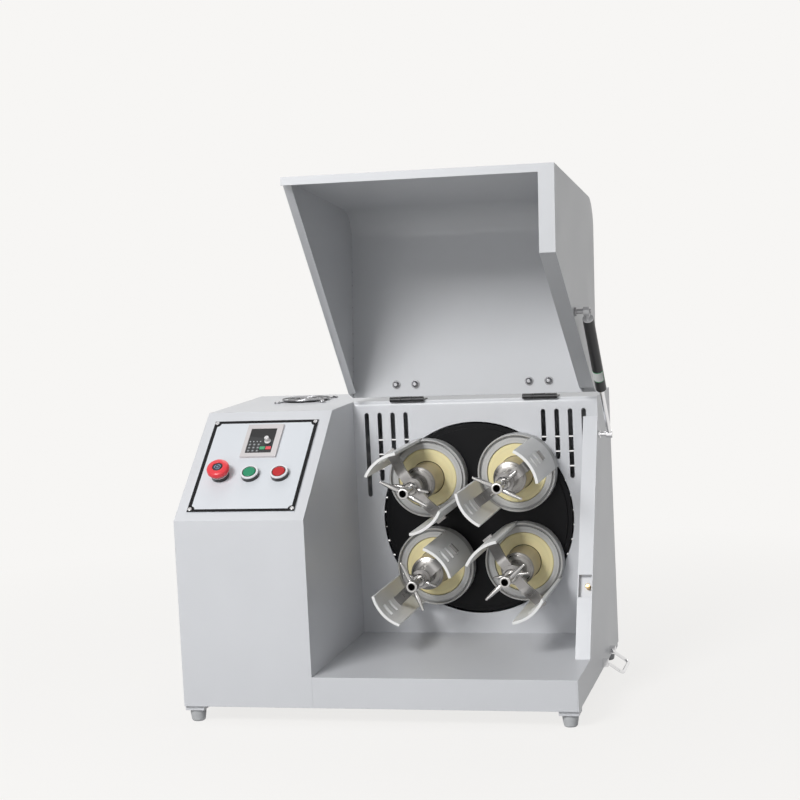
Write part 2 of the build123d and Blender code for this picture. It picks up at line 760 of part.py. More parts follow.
def edge_band(start, end, depth):
    """The four corners of a strip along the lower edge of a side plate, laid on its inner side."""
    dy = end[0] - start[0]
    dz = end[1] - start[1]
    length = hypot(dy, dz)
    side_y = -dz / length * depth
    side_z = dy / length * depth
    return [start, end, (end[0] + side_y, end[1] + side_z), (start[0] + side_y, start[1] + side_z)]


def lid_shell():
    foot_y = WALL_FOOT_Y - LID_WALL_GAP
    heel = (LID_HEEL_Y, LID_HEEL_Z)
    lid = lid_skin()
    lid += lid_side(0, LID_LEFT_X, LID_LEFT_X + SHEET)
    lid += lid_side(foot_y, WIDTH - SHEET, WIDTH)
    lid += lid_side(foot_y, WALL_INNER_X, WALL_INNER_X + SHEET)
    lid += block(LID_LEFT_X, WIDTH, 0, LID_RIM, LID_LOW_Z, LID_LOW_Z + SHEET)
    lid += block(WALL_INNER_X, WIDTH, 0, foot_y, LID_LOW_Z, LID_LOW_Z + SHEET)
    lid += slab_x(edge_band((0, LID_LOW_Z), heel, SHEET), LID_LEFT_X, LID_LEFT_X + LID_RIM)
    lid += slab_x(edge_band((foot_y, LID_LOW_Z), heel, SHEET), WALL_INNER_X, WIDTH)
    return opened(lid & block(LID_LEFT_X, WIDTH, 0, LID_REAR_Y, LID_LOW_Z, TOP_Z))


def hinge_centres():
    return (DISC_CENTRE_X - HINGE_OFFSET, DISC_CENTRE_X + HINGE_OFFSET)


def knuckle(x0, x1):
    return rod_x(HINGE_Y, HINGE_Z, x0, x1, KNUCKLE_RADIUS)


def hinge_deck_leaves():
    third = HINGE_LENGTH / 3
    half = HINGE_LENGTH / 2
    hinges = []
    for x in hinge_centres():
        leaf = block(x - half, x + half, HINGE_Y, HINGE_Y + HINGE_LEAF, TOP_Z, TOP_Z + LEAF_THICKNESS)
        leaf -= block(
            x - third / 2 - KNUCKLE_GAP,
            x + third / 2 + KNUCKLE_GAP,
            HINGE_Y - 1,
            HINGE_Y + KNUCKLE_RADIUS + KNUCKLE_GAP,
            TOP_Z - 1,
            TOP_Z + 2 * KNUCKLE_RADIUS,
        )
        leaf += knuckle(x - half, x - third / 2 - KNUCKLE_GAP)
        leaf += knuckle(x + third / 2 + KNUCKLE_GAP, x + half)
        leaf += rod_x(HINGE_Y, HINGE_Z, x - half, x + half, PIN_RADIUS)
        hinges.append(leaf)
    return group(*hinges)


def hinge_lid_leaves():
    third = HINGE_LENGTH / 3
    half = HINGE_LENGTH / 2
    hinges = []
    for x in hinge_centres():
        leaf = block(x - half, x + half, HINGE_Y - HINGE_LEAF, HINGE_Y, TOP_Z, TOP_Z + LEAF_THICKNESS)
        for side in (-1, 1):
            inner = x + side * (third / 2 - KNUCKLE_GAP)
            outer = x + side * (half + 1)
            leaf -= block(
                min(inner, outer),
                max(inner, outer),
                HINGE_Y - KNUCKLE_RADIUS - KNUCKLE_GAP,
                HINGE_Y + 1,
                TOP_Z - 1,
                TOP_Z + 2 * KNUCKLE_RADIUS,
            )
        leaf += knuckle(x - third / 2 + KNUCKLE_GAP, x + third / 2 - KNUCKLE_GAP)
        leaf -= rod_x(HINGE_Y, HINGE_Z, x - half, x + half, PIN_RADIUS + RUNNING_FIT)
        hinges.append(opened(leaf))
    return group(*hinges)


def lid_fasteners():
    """Cap nuts on the lid's inner face and the strut's upper stud."""
    nut = turned_up([
        (0, 0),
        (NUT_WASHER_RADIUS, 0),
        (NUT_WASHER_RADIUS, NUT_WASHER_THICKNESS),
        (NUT_RADIUS, NUT_WASHER_THICKNESS),
        (NUT_RADIUS, NUT_HEIGHT - NUT_DOME_HEIGHT),
        (NUT_DOME_RADIUS, NUT_HEIGHT),
        (0, NUT_HEIGHT),
    ])
    pieces = []
    for x in hinge_centres():
        for side in (-1, 1):
            spot = Pos(x + side * HINGE_SCREW_PITCH / 2, HINGE_Y - HINGE_SCREW_REACH, TOP_Z - SHEET)
            pieces.append(opened(spot * Rot(180, 0, 0) * nut))
    y, z = lid_point(STRUT_UPPER_Y, BASE_Z + STRUT_UPPER_HEIGHT)
    stud = rod_x(y, z, WIDTH, WIDTH + STUD_FLANGE_THICKNESS, STUD_FLANGE_RADIUS)
    stud += rod_x(y, z, WIDTH, STRUT_X + STRUT_SOCKET_THICKNESS / 2 + STUD_END, STUD_RADIUS)
    pieces.append(stud)
    return group(*pieces)


def strut_place():
    """Along the open strut: X stays across, Z runs from the upper to the lower pivot."""
    y, z = lid_point(STRUT_UPPER_Y, BASE_Z + STRUT_UPPER_HEIGHT)
    along = (0, STRUT_LOWER_Y - y, BASE_Z + STRUT_LOWER_HEIGHT - z)
    return Plane(origin=(STRUT_X, y, z), x_dir=(1, 0, 0), z_dir=along), hypot(along[1], along[2])


def strut_cylinder():
    place = strut_place()[0]
    end = CYLINDER_START + CYLINDER_LENGTH
    tube = rod_z(0, 0, CYLINDER_START, end, CYLINDER_RADIUS)
    tube -= rod_z(0, 0, CYLINDER_START + CYLINDER_CAP, end - CYLINDER_CAP, CYLINDER_BORE)
    tube -= rod_z(0, 0, end - CYLINDER_CAP - 1, end + 1, STRUT_ROD_RADIUS + RUNNING_FIT)
    tube += rod_z(0, 0, STRUT_SOCKET_RADIUS - 2, CYLINDER_START, STUD_RADIUS)
    half = STRUT_SOCKET_THICKNESS / 2
    tube += rod_x(0, 0, -half, half, STRUT_SOCKET_RADIUS)
    tube -= rod_x(0, 0, -half - 1, half + 1, STUD_RADIUS + RUNNING_FIT)
    return place.location * tube


def strut_rod():
    place, length = strut_place()
    half = STRUT_SOCKET_THICKNESS / 2
    rod = rod_z(0, 0, PISTON_DEPTH, length, STRUT_ROD_RADIUS)
    rod += rod_z(0, 0, PISTON_DEPTH, PISTON_DEPTH + PISTON_LENGTH, CYLINDER_BORE - RUNNING_FIT)
    rod += rod_x(0, length, -half, half, STRUT_SOCKET_RADIUS)
    return place.location * rod


def gear_outline(teeth, phase):
    """Points of a spur gear's outline, with straight-flanked teeth thinned by the backlash."""
    pitch_radius = GEAR_MODULE * teeth / 2
    root = pitch_radius - GEAR_DEDENDUM * GEAR_MODULE
    tip = pitch_radius + GEAR_ADDENDUM * GEAR_MODULE
    half_tooth = degrees((pi * GEAR_MODULE - GEAR_BACKLASH) / 4 / pitch_radius)
    lean = tan(radians(PRESSURE_ANGLE))
    root_share = half_tooth + degrees(lean * (pitch_radius - root) / root)
    tip_share = half_tooth - degrees(lean * (tip - pitch_radius) / tip)
    flank = [(root, root_share), (pitch_radius, half_tooth), (tip, tip_share)]
    points = []
    for index in range(teeth):
        middle = phase + index * 360 / teeth
        points += [(radius, middle - share) for radius, share in flank]
        points += [(radius, middle + share) for radius, share in reversed(flank)]
    return [(radius * cos(radians(angle)), radius * sin(radians(angle))) for radius, angle in points]


def planet_phase(station):
    """Tooth angle that puts a gap of the planet over the sun's tooth, whose first tooth is on +X."""
    step = 360 / SUN_TEETH
    ahead = round(station / step) * step - station
    gap = station + 180 - ahead * SUN_TEETH / PLANET_TEETH
    return gap + 180 / PLANET_TEETH


def sun_gear():
    outline = [(DISC_CENTRE_X + x, DISC_Z + z) for x, z in gear_outline(SUN_TEETH, 0)]
    gear = slab_y(outline, GEAR_FRONT_Y, GEAR_BACK_Y)
    return gear - rod_y(DISC_CENTRE_X, DISC_Z, GEAR_FRONT_Y - 1, GEAR_BACK_Y + 1, QUILL_RADIUS)


def bearing_housing():
    x = DISC_CENTRE_X
    low = BASE_Z + SHEET
    half = PEDESTAL_WIDTH / 2
    middle = (HOUSING_FRONT_Y + HOUSING_BACK_Y) / 2
    housing = rod_y(x, DISC_Z, HOUSING_FRONT_Y, HOUSING_BACK_Y, HOUSING_RADIUS)
    housing += rod_y(x, DISC_Z, HOUSING_FRONT_Y, HOUSING_FRONT_Y + PEDESTAL_PLATE, HOUSING_FLANGE_RADIUS)
    housing += rod_y(x, DISC_Z, GEAR_FRONT_Y, HOUSING_FRONT_Y, QUILL_RADIUS)
    front = middle - PEDESTAL_DEPTH / 2
    back = middle + PEDESTAL_DEPTH / 2
    housing += block(x - half, x + half, front, back, low, low + PEDESTAL_PLATE)
    web = [
        (x - half + PEDESTAL_TOE, low),
        (x + half - PEDESTAL_TOE, low),
        (x + HOUSING_RADIUS, DISC_Z),
        (x - HOUSING_RADIUS, DISC_Z),
    ]
    housing += slab_y(web, middle - PEDESTAL_PLATE / 2, middle + PEDESTAL_PLATE / 2)
    rib = [
        (front + PEDESTAL_RIB_TOE, low),
        (back - PEDESTAL_RIB_TOE, low),
        (middle + PEDESTAL_PLATE, DISC_Z),
        (middle - PEDESTAL_PLATE, DISC_Z),
    ]
    housing += slab_x(rib, x - PEDESTAL_PLATE / 2, x + PEDESTAL_PLATE / 2)
    bore = rod_y(x, DISC_Z, GEAR_FRONT_Y - 1, HOUSING_BACK_Y + 1, SHAFT_RADIUS + RUNNING_FIT)
    return housing - bore


def carrier_disc():
    disc = rod_y(0, 0, 0, DISC_THICKNESS, DISC_RADIUS)
    step = rod_y(0, 0, -1, DISC_STEP_DEPTH, DISC_RADIUS + 1)
    disc -= step - rod_y(0, 0, -2, DISC_STEP_DEPTH + 1, DISC_RADIUS - DISC_STEP_WIDTH)
    disc += rod_y(0, 0, DISC_THICKNESS, DISC_THICKNESS + DISC_BOSS_DEPTH, DISC_HUB_RADIUS)
    for angle in STATION_ANGLES:
        x = STATION_RADIUS * cos(radians(angle))
        z = STATION_RADIUS * sin(radians(angle))
        disc += rod_y(x, z, DISC_THICKNESS, DISC_THICKNESS + DISC_BOSS_DEPTH, DISC_BOSS_RADIUS)
        disc -= rod_y(x, z, -1, DISC_THICKNESS + DISC_BOSS_DEPTH + 1, SPINDLE_RADIUS + RUNNING_FIT)
    disc -= rod_y(0, 0, DISC_THICKNESS / 2, DISC_THICKNESS + DISC_BOSS_DEPTH + 1, SHAFT_RADIUS)
    return Pos(DISC_CENTRE_X, VENT_PANEL_Y, DISC_Z) * disc


def pulley(radius, bore_radius):
    """A V pulley turned about Y, with its groove in the middle of its width."""
    half = BELT_WIDTH / 2
    side = half + PULLEY_FLANGE
    outer = radius + BELT_DEPTH - 1
    shape = [
        (bore_radius, -side),
        (outer, -side),
        (outer, -half - BELT_FIT),
        (radius, -half + 2 - BELT_FIT),
        (radius, half - 2 + BELT_FIT),
        (outer, half + BELT_FIT),
        (outer, side),
        (bore_radius, side),
    ]
    return Pos(0, BELT_Y, 0) * turned(shape)


def drive_shaft():
    shaft = rod_y(0, 0, VENT_PANEL_Y + DISC_THICKNESS / 2, BELT_Y + BELT_WIDTH, SHAFT_RADIUS)
    shaft += pulley(DRIVEN_PULLEY_RADIUS, SHAFT_RADIUS - 1)
    for index in range(PULLEY_HOLES):
        hole = rod_y(PULLEY_HOLE_REACH, 0, BELT_Y - BELT_WIDTH, BELT_Y + BELT_WIDTH, PULLEY_HOLE_RADIUS)
        shaft -= Rot(0, 360 * index / PULLEY_HOLES, 0) * hole
    return Pos(DISC_CENTRE_X, 0, DISC_Z) * shaft


def motor_pulley():
    shaft = rod_y(0, 0, MOTOR_BACK_Y - MOTOR_SHAFT_DEPTH, BELT_Y + BELT_WIDTH, MOTOR_SHAFT_RADIUS)
    return Pos(MOTOR_X, 0, MOTOR_Z) * (shaft + pulley(MOTOR_PULLEY_RADIUS, MOTOR_SHAFT_RADIUS - 1))


def motor():
    low = BASE_Z + SHEET
    flange_back = MOTOR_FRONT_Y + MOTOR_FLANGE_LENGTH
    nose_front = MOTOR_BACK_Y - MOTOR_NOSE_LENGTH
    body = rod_y(0, 0, flange_back, nose_front, MOTOR_RADIUS)
    body += rod_y(0, 0, MOTOR_FRONT_Y, flange_back, MOTOR_RADIUS + MOTOR_FLANGE_STEP)
    body += rod_y(0, 0, nose_front, MOTOR_BACK_Y, MOTOR_RADIUS - MOTOR_NOSE_STEP)
    half_fin = MOTOR_FIN_THICKNESS / 2
    fin = block(
        -half_fin,
        half_fin,
        flange_back + MOTOR_FIN_INSET,
        nose_front - MOTOR_FIN_INSET,
        MOTOR_RADIUS - 1,
        MOTOR_RADIUS + MOTOR_FIN_HEIGHT,
    )
    for index in range(MOTOR_FINS):
        body += Rot(0, 360 * index / MOTOR_FINS, 0) * fin
    body = Pos(MOTOR_X, 0, MOTOR_Z) * body
    front = MOTOR_FRONT_Y + MOTOR_FOOT_FRONT
    back = MOTOR_BACK_Y - MOTOR_FOOT_BACK
    half_foot = MOTOR_FOOT_WIDTH / 2
    half_web = MOTOR_WEB_WIDTH / 2
    for side in (-1, 1):
        x = MOTOR_X + side * MOTOR_FOOT_OFFSET
        body += block(x - half_foot, x + half_foot, front, back, low, low + MOTOR_FOOT_HEIGHT)
        x -= side * MOTOR_WEB_WIDTH
        web_front = front + MOTOR_WEB_INSET
        web_back = back - MOTOR_WEB_INSET
        body += block(x - half_web, x + half_web, web_front, web_back, low, MOTOR_Z - MOTOR_WEB_TOP)
    bore_front = MOTOR_BACK_Y - MOTOR_SHAFT_DEPTH - 1
    return body - rod_y(MOTOR_X, MOTOR_Z, bore_front, MOTOR_BACK_Y + 1, MOTOR_SHAFT_RADIUS + RUNNING_FIT)


def belt_loop(small, large, y0, y1):
    """A flat loop's outer shape round two pulleys, filled in."""
    dx = DISC_CENTRE_X - MOTOR_X
    dz = DISC_Z - MOTOR_Z
    slant = degrees(atan2(dz, dx))
    spread = degrees(acos((small - large) / hypot(dx, dz)))
    corners = []
    motor_end = (MOTOR_X, MOTOR_Z, small)
    disc_end = (DISC_CENTRE_X, DISC_Z, large)
    for (x, z, radius), side in ((motor_end, 1), (disc_end, 1), (disc_end, -1), (motor_end, -1)):
        angle = radians(slant + side * spread)
        corners.append((x + radius * cos(angle), z + radius * sin(angle)))
    loop = slab_y(corners, y0, y1)
    loop += rod_y(MOTOR_X, MOTOR_Z, y0, y1, small)
    return loop + rod_y(DISC_CENTRE_X, DISC_Z, y0, y1, large)


def drive_belt():
    half = BELT_WIDTH / 2 - 1
    inner = BELT_FIT
    outer = BELT_FIT + BELT_DEPTH
    low = BELT_Y - half
    high = BELT_Y + half
    loop = belt_loop(MOTOR_PULLEY_RADIUS + outer, DRIVEN_PULLEY_RADIUS + outer, low + 1, high - 1)
    hollow = belt_loop(MOTOR_PULLEY_RADIUS + inner, DRIVEN_PULLEY_RADIUS + inner, low - 1, high + 1)
    return loop - hollow


def ear(side):
    """One slotted ear of a jar holder, on the +X or -X side of the station's axis."""
    back = -EAR_HEIGHT
    sector = rod_y(0, 0, back, -EAR_START, EAR_RADIUS) - rod_y(0, 0, back - 1, 0, EAR_RADIUS - EAR_WALL)
    half = radians(EAR_SPAN / 2)
    reach = EAR_RADIUS * 2
    sides = [(0, 0), (reach * cos(half), -reach * sin(half)), (reach * cos(half), reach * sin(half))]
    blade = sector & slab_y(sides, back - 1, 0)
    half_depth = EAR_SLOT_DEPTH / 2
    half_width = EAR_SLOT_WIDTH / 2
    for height in EAR_SLOT_HEIGHTS:
        low = -height - half_depth
        blade -= block(EAR_RADIUS - 3 * EAR_WALL, reach, low, low + EAR_SLOT_DEPTH, -half_width, half_width)
    return Rot(0, 0 if side > 0 else 180, 0) * blade


def station(index):
    """Place of a jar station on the disc, turned so that its strap lies along its X."""
    angle = radians(STATION_ANGLES[index])
    x = DISC_CENTRE_X + STATION_RADIUS * cos(angle)
    z = DISC_Z + STATION_RADIUS * sin(angle)
    return Pos(x, VENT_PANEL_Y, z)


def holder(index):
    spindle_end = VENT_PANEL_Y - GEAR_BACK_Y
    cup = turned([
        (0, CUP_FLOOR),
        (CUP_BORE, CUP_FLOOR),
        (CUP_BORE, CUP_RING_HEIGHT),
        (CUP_GROOVE_INNER, CUP_RING_HEIGHT),
        (CUP_GROOVE_INNER, CUP_GROOVE_FLOOR),
        (CUP_GROOVE_RADIUS, CUP_GROOVE_FLOOR),
        (CUP_GROOVE_RADIUS, CUP_HEIGHT - CUP_CHAMFER),
        (CUP_GROOVE_RADIUS + CUP_CHAMFER, CUP_HEIGHT),
        (CUP_RADIUS - CUP_CHAMFER, CUP_HEIGHT),
        (CUP_RADIUS, CUP_HEIGHT - CUP_CHAMFER),
        (CUP_RADIUS, CUP_BACK),
        (DISC_BOSS_RADIUS, CUP_BACK),
        (DISC_BOSS_RADIUS, THRUST_GAP),
        (SPINDLE_RADIUS, THRUST_GAP),
        (SPINDLE_RADIUS, spindle_end),
        (0, spindle_end),
    ])
    turn = Rot(0, -STRAP_ANGLES[index], 0)
    body = cup + turn * ear(1) + turn * ear(-1)
    outline = gear_outline(PLANET_TEETH, planet_phase(STATION_ANGLES[index]))
    body += slab_y(outline, GEAR_FRONT_Y - VENT_PANEL_Y, GEAR_BACK_Y - VENT_PANEL_Y)
    return station(index) * body


def jar(index):
    """A flanged jar and its lid, which plugs into the neck."""
    radius = CUP_BORE - JAR_FIT
    floor = CUP_FLOOR
    bore = JAR_NECK_RADIUS - JAR_WALL
    body = turned([
        (0, floor),
        (radius, floor),
        (radius, JAR_FLANGE_HEIGHT - JAR_CHAMFER),
        (radius - JAR_CHAMFER, JAR_FLANGE_HEIGHT),
        (JAR_NECK_RADIUS, JAR_FLANGE_HEIGHT),
        (JAR_NECK_RADIUS, JAR_NECK_HEIGHT),
        (bore, JAR_NECK_HEIGHT),
        (bore, floor + JAR_FLOOR),
        (0, floor + JAR_FLOOR),
    ])
    spigot = bore - JAR_SPIGOT_FIT
    spigot_end = JAR_NECK_HEIGHT - JAR_SPIGOT_DEPTH
    lid = turned([
        (0, spigot_end),
        (spigot, spigot_end),
        (spigot, JAR_NECK_HEIGHT),
        (JAR_NECK_RADIUS, JAR_NECK_HEIGHT),
        (JAR_NECK_RADIUS, JAR_HEIGHT),
        (0, JAR_HEIGHT),
    ])
    return station(index) * group(body, lid)


def clamp_bar(index):
    """A cranked strap whose ends hold up under the ears' first slots."""
    slot_top = EAR_SLOT_HEIGHTS[0] + EAR_SLOT_DEPTH / 2
    low = slot_top - STRAP_THICKNESS
    lip = EAR_RADIUS - EAR_WALL - STRAP_END
    crown = STRAP_CROWN
    bend = atan2(STRAP_TOP - slot_top, lip - crown)
    shift = STRAP_THICKNESS * tan(bend / 2)
    half = [(STRAP_REACH, low), (STRAP_REACH, slot_top), (lip, slot_top), (crown, STRAP_TOP)]
    under = [(crown - shift, STRAP_TOP - STRAP_THICKNESS), (lip - shift, low)]
    outline = half + [(-x, h) for x, h in reversed(half)]
    outline += [(-x, h) for x, h in reversed(under)] + under
    face = make_face(Polyline(*[(x, -h) for x, h in outline], close=True))
    for reach, radius in (
        (lip, STRAP_BEND),
        (crown, STRAP_BEND + STRAP_THICKNESS),
        (lip - shift, STRAP_BEND + STRAP_THICKNESS),
        (crown - shift, STRAP_BEND),
    ):
        corners = [corner for corner in face.vertices() if abs(abs(corner.X) - reach) < 0.01]
        face = fillet(corners, radius)
    bar = Pos(0, 0, -STRAP_WIDTH / 2) * extrude(face, STRAP_WIDTH, dir=(0, 0, 1))
    bar += rod_y(0, 0, -STRAP_BOSS_TOP, -STRAP_BOSS_BOTTOM, STRAP_BOSS_RADIUS)
    bar -= rod_y(0, 0, -STRAP_BOSS_TOP - 1, -STRAP_BOSS_BOTTOM + 1, SCREW_RADIUS + RUNNING_FIT)
    mark = Box(STRAP_MARK, 2 * STRAP_MARK_DEPTH, STRAP_MARK)
    for side in (-1, 1):
        spot = Pos(side * (lip + crown) / 2, -(slot_top + STRAP_TOP) / 2, 0)
        bar -= spot * Rot(0, 0, side * degrees(bend)) * mark
    return station(index) * Rot(0, -STRAP_ANGLES[index], 0) * bar


def pressure_disc(index):
    """The plate that the lever presses on the jar's lid, with a grooved hub and a blind socket."""
    hub = PRESSURE_HUB_RADIUS
    waist = hub - PRESSURE_GROOVE_DEPTH
    socket = SCREW_RADIUS + RUNNING_FIT
    socket_end = SCREW_START - THRUST_GAP
    edge = JAR_HEIGHT + PRESSURE_EDGE
    cone = edge + PRESSURE_CONE
    first_groove = JAR_HEIGHT + PRESSURE_EDGE + PRESSURE_NECK
    land = first_groove + PRESSURE_GROOVE
    second_groove = land + PRESSURE_LAND
    head = second_groove + PRESSURE_GROOVE
    return station(index) * turned([
        (0, JAR_HEIGHT),
        (PRESSURE_RADIUS, JAR_HEIGHT),
        (PRESSURE_RADIUS, edge),
        (hub + PRESSURE_CONE, cone),
        (hub, cone),
        (hub, first_groove),
        (waist, first_groove),
        (waist, land),
        (hub - 1, land),
        (hub - 1, second_groove),
        (waist, second_groove),
        (waist, head),
        (hub - 1, head),
        (hub - 1, PRESSURE_TOP),
        (socket, PRESSURE_TOP),
        (socket, socket_end),
        (0, socket_end),
    ])


def tapered_arm(start, reach, wide, tip, height, lean):
    """A drop-shaped arm along +X: widest a third of the way out, with a rounded tip."""
    length = reach - tip - start
    drop = make_face(
        Polyline((0, 0), (wide * ARM_NECK, 0), (wide, length / 3), (tip, length), (0, length), close=True)
    )
    arm = revolve(drop, Axis.Y) + Pos(0, length, 0) * Sphere(tip)
    return Pos(start, -height, 0) * Rot(0, 0, -90 - lean) * arm


def lever_screw(index):
    recess = LEVER_TOP - LEVER_RECESS_DEPTH
    screw = turned([
        (0, SCREW_START),
        (SCREW_RADIUS, SCREW_START),
        (SCREW_RADIUS, LEVER_HUB_BOTTOM),
        (LEVER_HUB_RADIUS, LEVER_HUB_BOTTOM),
        (LEVER_HUB_RADIUS, LEVER_TOP),
        (LEVER_RECESS_RADIUS, LEVER_TOP),
        (LEVER_RECESS_RADIUS, recess),
        (0, recess),
    ])
    height = (LEVER_HUB_BOTTOM + LEVER_TOP) / 2
    start = LEVER_HUB_RADIUS - ARM_SINK
    arm = tapered_arm(start, LEVER_REACH, LEVER_ARM_RADIUS, LEVER_TIP_RADIUS, height, LEVER_LEAN)
    screw += arm + Rot(0, 180, 0) * arm
    return station(index) * Rot(0, -LEVER_ANGLES[index], 0) * screw


def lock_nut(index):
    bore = SCREW_RADIUS + RUNNING_FIT
    nut = turned([
        (bore, STRAP_BOSS_TOP), (LOCK_HUB_RADIUS, STRAP_BOSS_TOP), (LOCK_HUB_RADIUS, LOCK_TOP - 3),
        (LOCK_HUB_RADIUS - 2, LOCK_TOP), (bore, LOCK_TOP),
    ])
    height = (STRAP_BOSS_TOP + LOCK_TOP) / 2
    arm = tapered_arm(LOCK_HUB_RADIUS - ARM_SINK, LOCK_REACH, LOCK_ARM_RADIUS, LOCK_TIP_RADIUS, height, 0)
    nut += arm + Rot(0, 180, 0) * arm
    return station(index) * Rot(0, -LOCK_ANGLES[index], 0) * nut


def panel_block(x, s, width, length, h0, h1):
    return PANEL * Pos(x, s, (h0 + h1) / 2) * Box(width, length, h1 - h0)


def control_plate():
    width = PLATE_RIGHT - PLATE_LEFT
    length = PLATE_HIGH - PLATE_LOW
    plate = panel_block(PLATE_LEFT + width / 2, PLATE_LOW + length / 2, width, length, 0, PLATE_THICKNESS)
    return plate - panel_holes()


def keypad():
    body_width = KEYPAD_WIDTH - 2 * KEYPAD_LIP - 2 * SLIDING_FIT
    body_length = KEYPAD_LENGTH - 2 * KEYPAD_LIP - 2 * SLIDING_FIT
    top = PLATE_THICKNESS + KEYPAD_RISE
    face = top - FACE_RECESS
    body = panel_block(KEYPAD_X, KEYPAD_S, KEYPAD_WIDTH, KEYPAD_LENGTH, PLATE_THICKNESS, top)
    body += panel_block(KEYPAD_X, KEYPAD_S, body_width, body_length, -KEYPAD_BODY_DEPTH, PLATE_THICKNESS)
    body -= panel_block(FACE_X, FACE_S, FACE_WIDTH, FACE_LENGTH, face, top + 1)
    for x in (GREEN_KEY_X, RED_KEY_X):
        body -= panel_block(x, KEY_S, KEY_WIDTH + 2 * SLIDING_FIT, KEY_LENGTH + 2 * SLIDING_FIT,
                            face - 2 * KEY_TRAVEL - 1, top)
    bore_low = face - KNOB_STEM_DEPTH - 1
    bore = rod_z(KNOB_X, KNOB_S, bore_low, top, KNOB_STEM_RADIUS + RUNNING_FIT)
    return body - PANEL * bore


def soft_key(x):
    face = PLATE_THICKNESS + KEYPAD_RISE - FACE_RECESS
    return panel_block(x, KEY_S, KEY_WIDTH, KEY_LENGTH, face - KEY_TRAVEL, face + KEY_PROUD)


def speed_knob():
    face = PLATE_THICKNESS + KEYPAD_RISE - FACE_RECESS
    rise = face + SLIDING_FIT
    top = rise + KNOB_HEIGHT
    stem_end = face - KNOB_STEM_DEPTH
    knob = turned_up([
        (0, stem_end),
        (KNOB_STEM_RADIUS, stem_end),
        (KNOB_STEM_RADIUS, rise),
        (KNOB_RADIUS, rise),
        (KNOB_RADIUS, rise + KNOB_SKIRT / 2),
        (KNOB_GRIP_RADIUS, rise + KNOB_SKIRT),
        (KNOB_GRIP_RADIUS, top - KNOB_ROUND),
        (KNOB_GRIP_RADIUS - KNOB_ROUND, top),
        (0, top),
    ])
    mark = Pos(KNOB_GRIP_RADIUS, 0, top) * Box(2 * KNOB_MARK_LENGTH, KNOB_MARK_WIDTH, 2 * KNOB_MARK_DEPTH)
    return PANEL * Pos(KNOB_X, KNOB_S, 0) * (knob - mark)


def button_bezels():
    floor = PLATE_THICKNESS + BEZEL_FLOOR
    top = PLATE_THICKNESS + BEZEL_RISE
    collar_top = PLATE_THICKNESS + ESTOP_COLLAR_RISE
    bore = STEM_RADIUS + RUNNING_FIT
    pocket = CAP_RADIUS + SLIDING_FIT
    back = -SHEET
    barrel = [
        (bore, -BARREL_DEPTH),
        (BARREL_RADIUS, -BARREL_DEPTH),
        (BARREL_RADIUS, back - BARREL_NUT),
        (BARREL_NUT_RADIUS, back - BARREL_NUT),
        (BARREL_NUT_RADIUS, back),
        (BARREL_RADIUS, back),
        (BARREL_RADIUS, PLATE_THICKNESS),
        (BEZEL_RADIUS, PLATE_THICKNESS),
    ]
    flat = turned_up(barrel + [(BEZEL_RADIUS, top), (pocket, top), (pocket, floor), (bore, floor)])
    collar = turned_up(barrel + [(BEZEL_RADIUS, collar_top), (bore, collar_top)])
    places = ((ESTOP_X, collar), (START_X, flat), (STOP_X, flat))
    return group(*[PANEL * Pos(x, BUTTON_S, 0) * shape for x, shape in places])


def button_cap(x):
    top = PLATE_THICKNESS + BEZEL_RISE + CAP_PROUD
    low = top - CAP_THICKNESS
    stem_end = -BARREL_DEPTH / 2
    cap = turned_up([
        (0, stem_end),
        (STEM_RADIUS, stem_end),
        (STEM_RADIUS, low),
        (CAP_RADIUS, low),
        (CAP_RADIUS, top - CAP_ROUND),
        (CAP_RADIUS - CAP_ROUND, top),
        (0, top),
    ])
    return PANEL * Pos(x, BUTTON_S, 0) * cap


def estop_head():
    """A flat mushroom head with a shallow dish in its top."""
    low = PLATE_THICKNESS + ESTOP_COLLAR_RISE + ESTOP_TRAVEL + ESTOP_STOP_GAP
    top = PLATE_THICKNESS + ESTOP_PROUD
    stem_end = -BARREL_DEPTH / 2
    dish = top - ESTOP_DISH_DEPTH
    head = turned_up([
        (0, stem_end),
        (STEM_RADIUS, stem_end),
        (STEM_RADIUS, low),
        (ESTOP_RADIUS - ESTOP_ROUND, low),
        (ESTOP_RADIUS, low + ESTOP_ROUND / 2),
        (ESTOP_RADIUS, top - ESTOP_ROUND),
        (ESTOP_RADIUS - ESTOP_ROUND / 3, top - ESTOP_ROUND / 3),
        (ESTOP_RADIUS - ESTOP_ROUND, top),
        (ESTOP_DISH_RADIUS, top),
        (ESTOP_DISH_RADIUS, dish),
        (0, dish),
    ])
    return PANEL * Pos(ESTOP_X, BUTTON_S, 0) * head


def fan_tabs():
    half = FAN_SCREW_PITCH / 2
    return [(sx * half, sy * half) for sx in (-1, 1) for sy in (-1, 1)]


def fan_guard():
    low = TOP_Z
    middle = TOP_Z + GUARD_WIRE
    high = middle + GUARD_WIRE
    guard = ring(GUARD_RADII[0], GUARD_RADII[0] - GUARD_WIRE, middle, high)
    for radius in GUARD_RADII[1:]:
        guard += ring(radius, radius - GUARD_WIRE, middle, high)
    reach = FAN_SCREW_PITCH / sqrt(2)
    for turn in (45, 135):
        guard += Rot(0, 0, turn) * block(-reach, reach, -GUARD_WIRE / 2, GUARD_WIRE / 2, low, middle)
    for x, y in fan_tabs():
        guard += rod_z(x, y, low, middle, 2 * GUARD_WIRE)
    return Pos(FAN_X, FAN_Y, 0) * guard


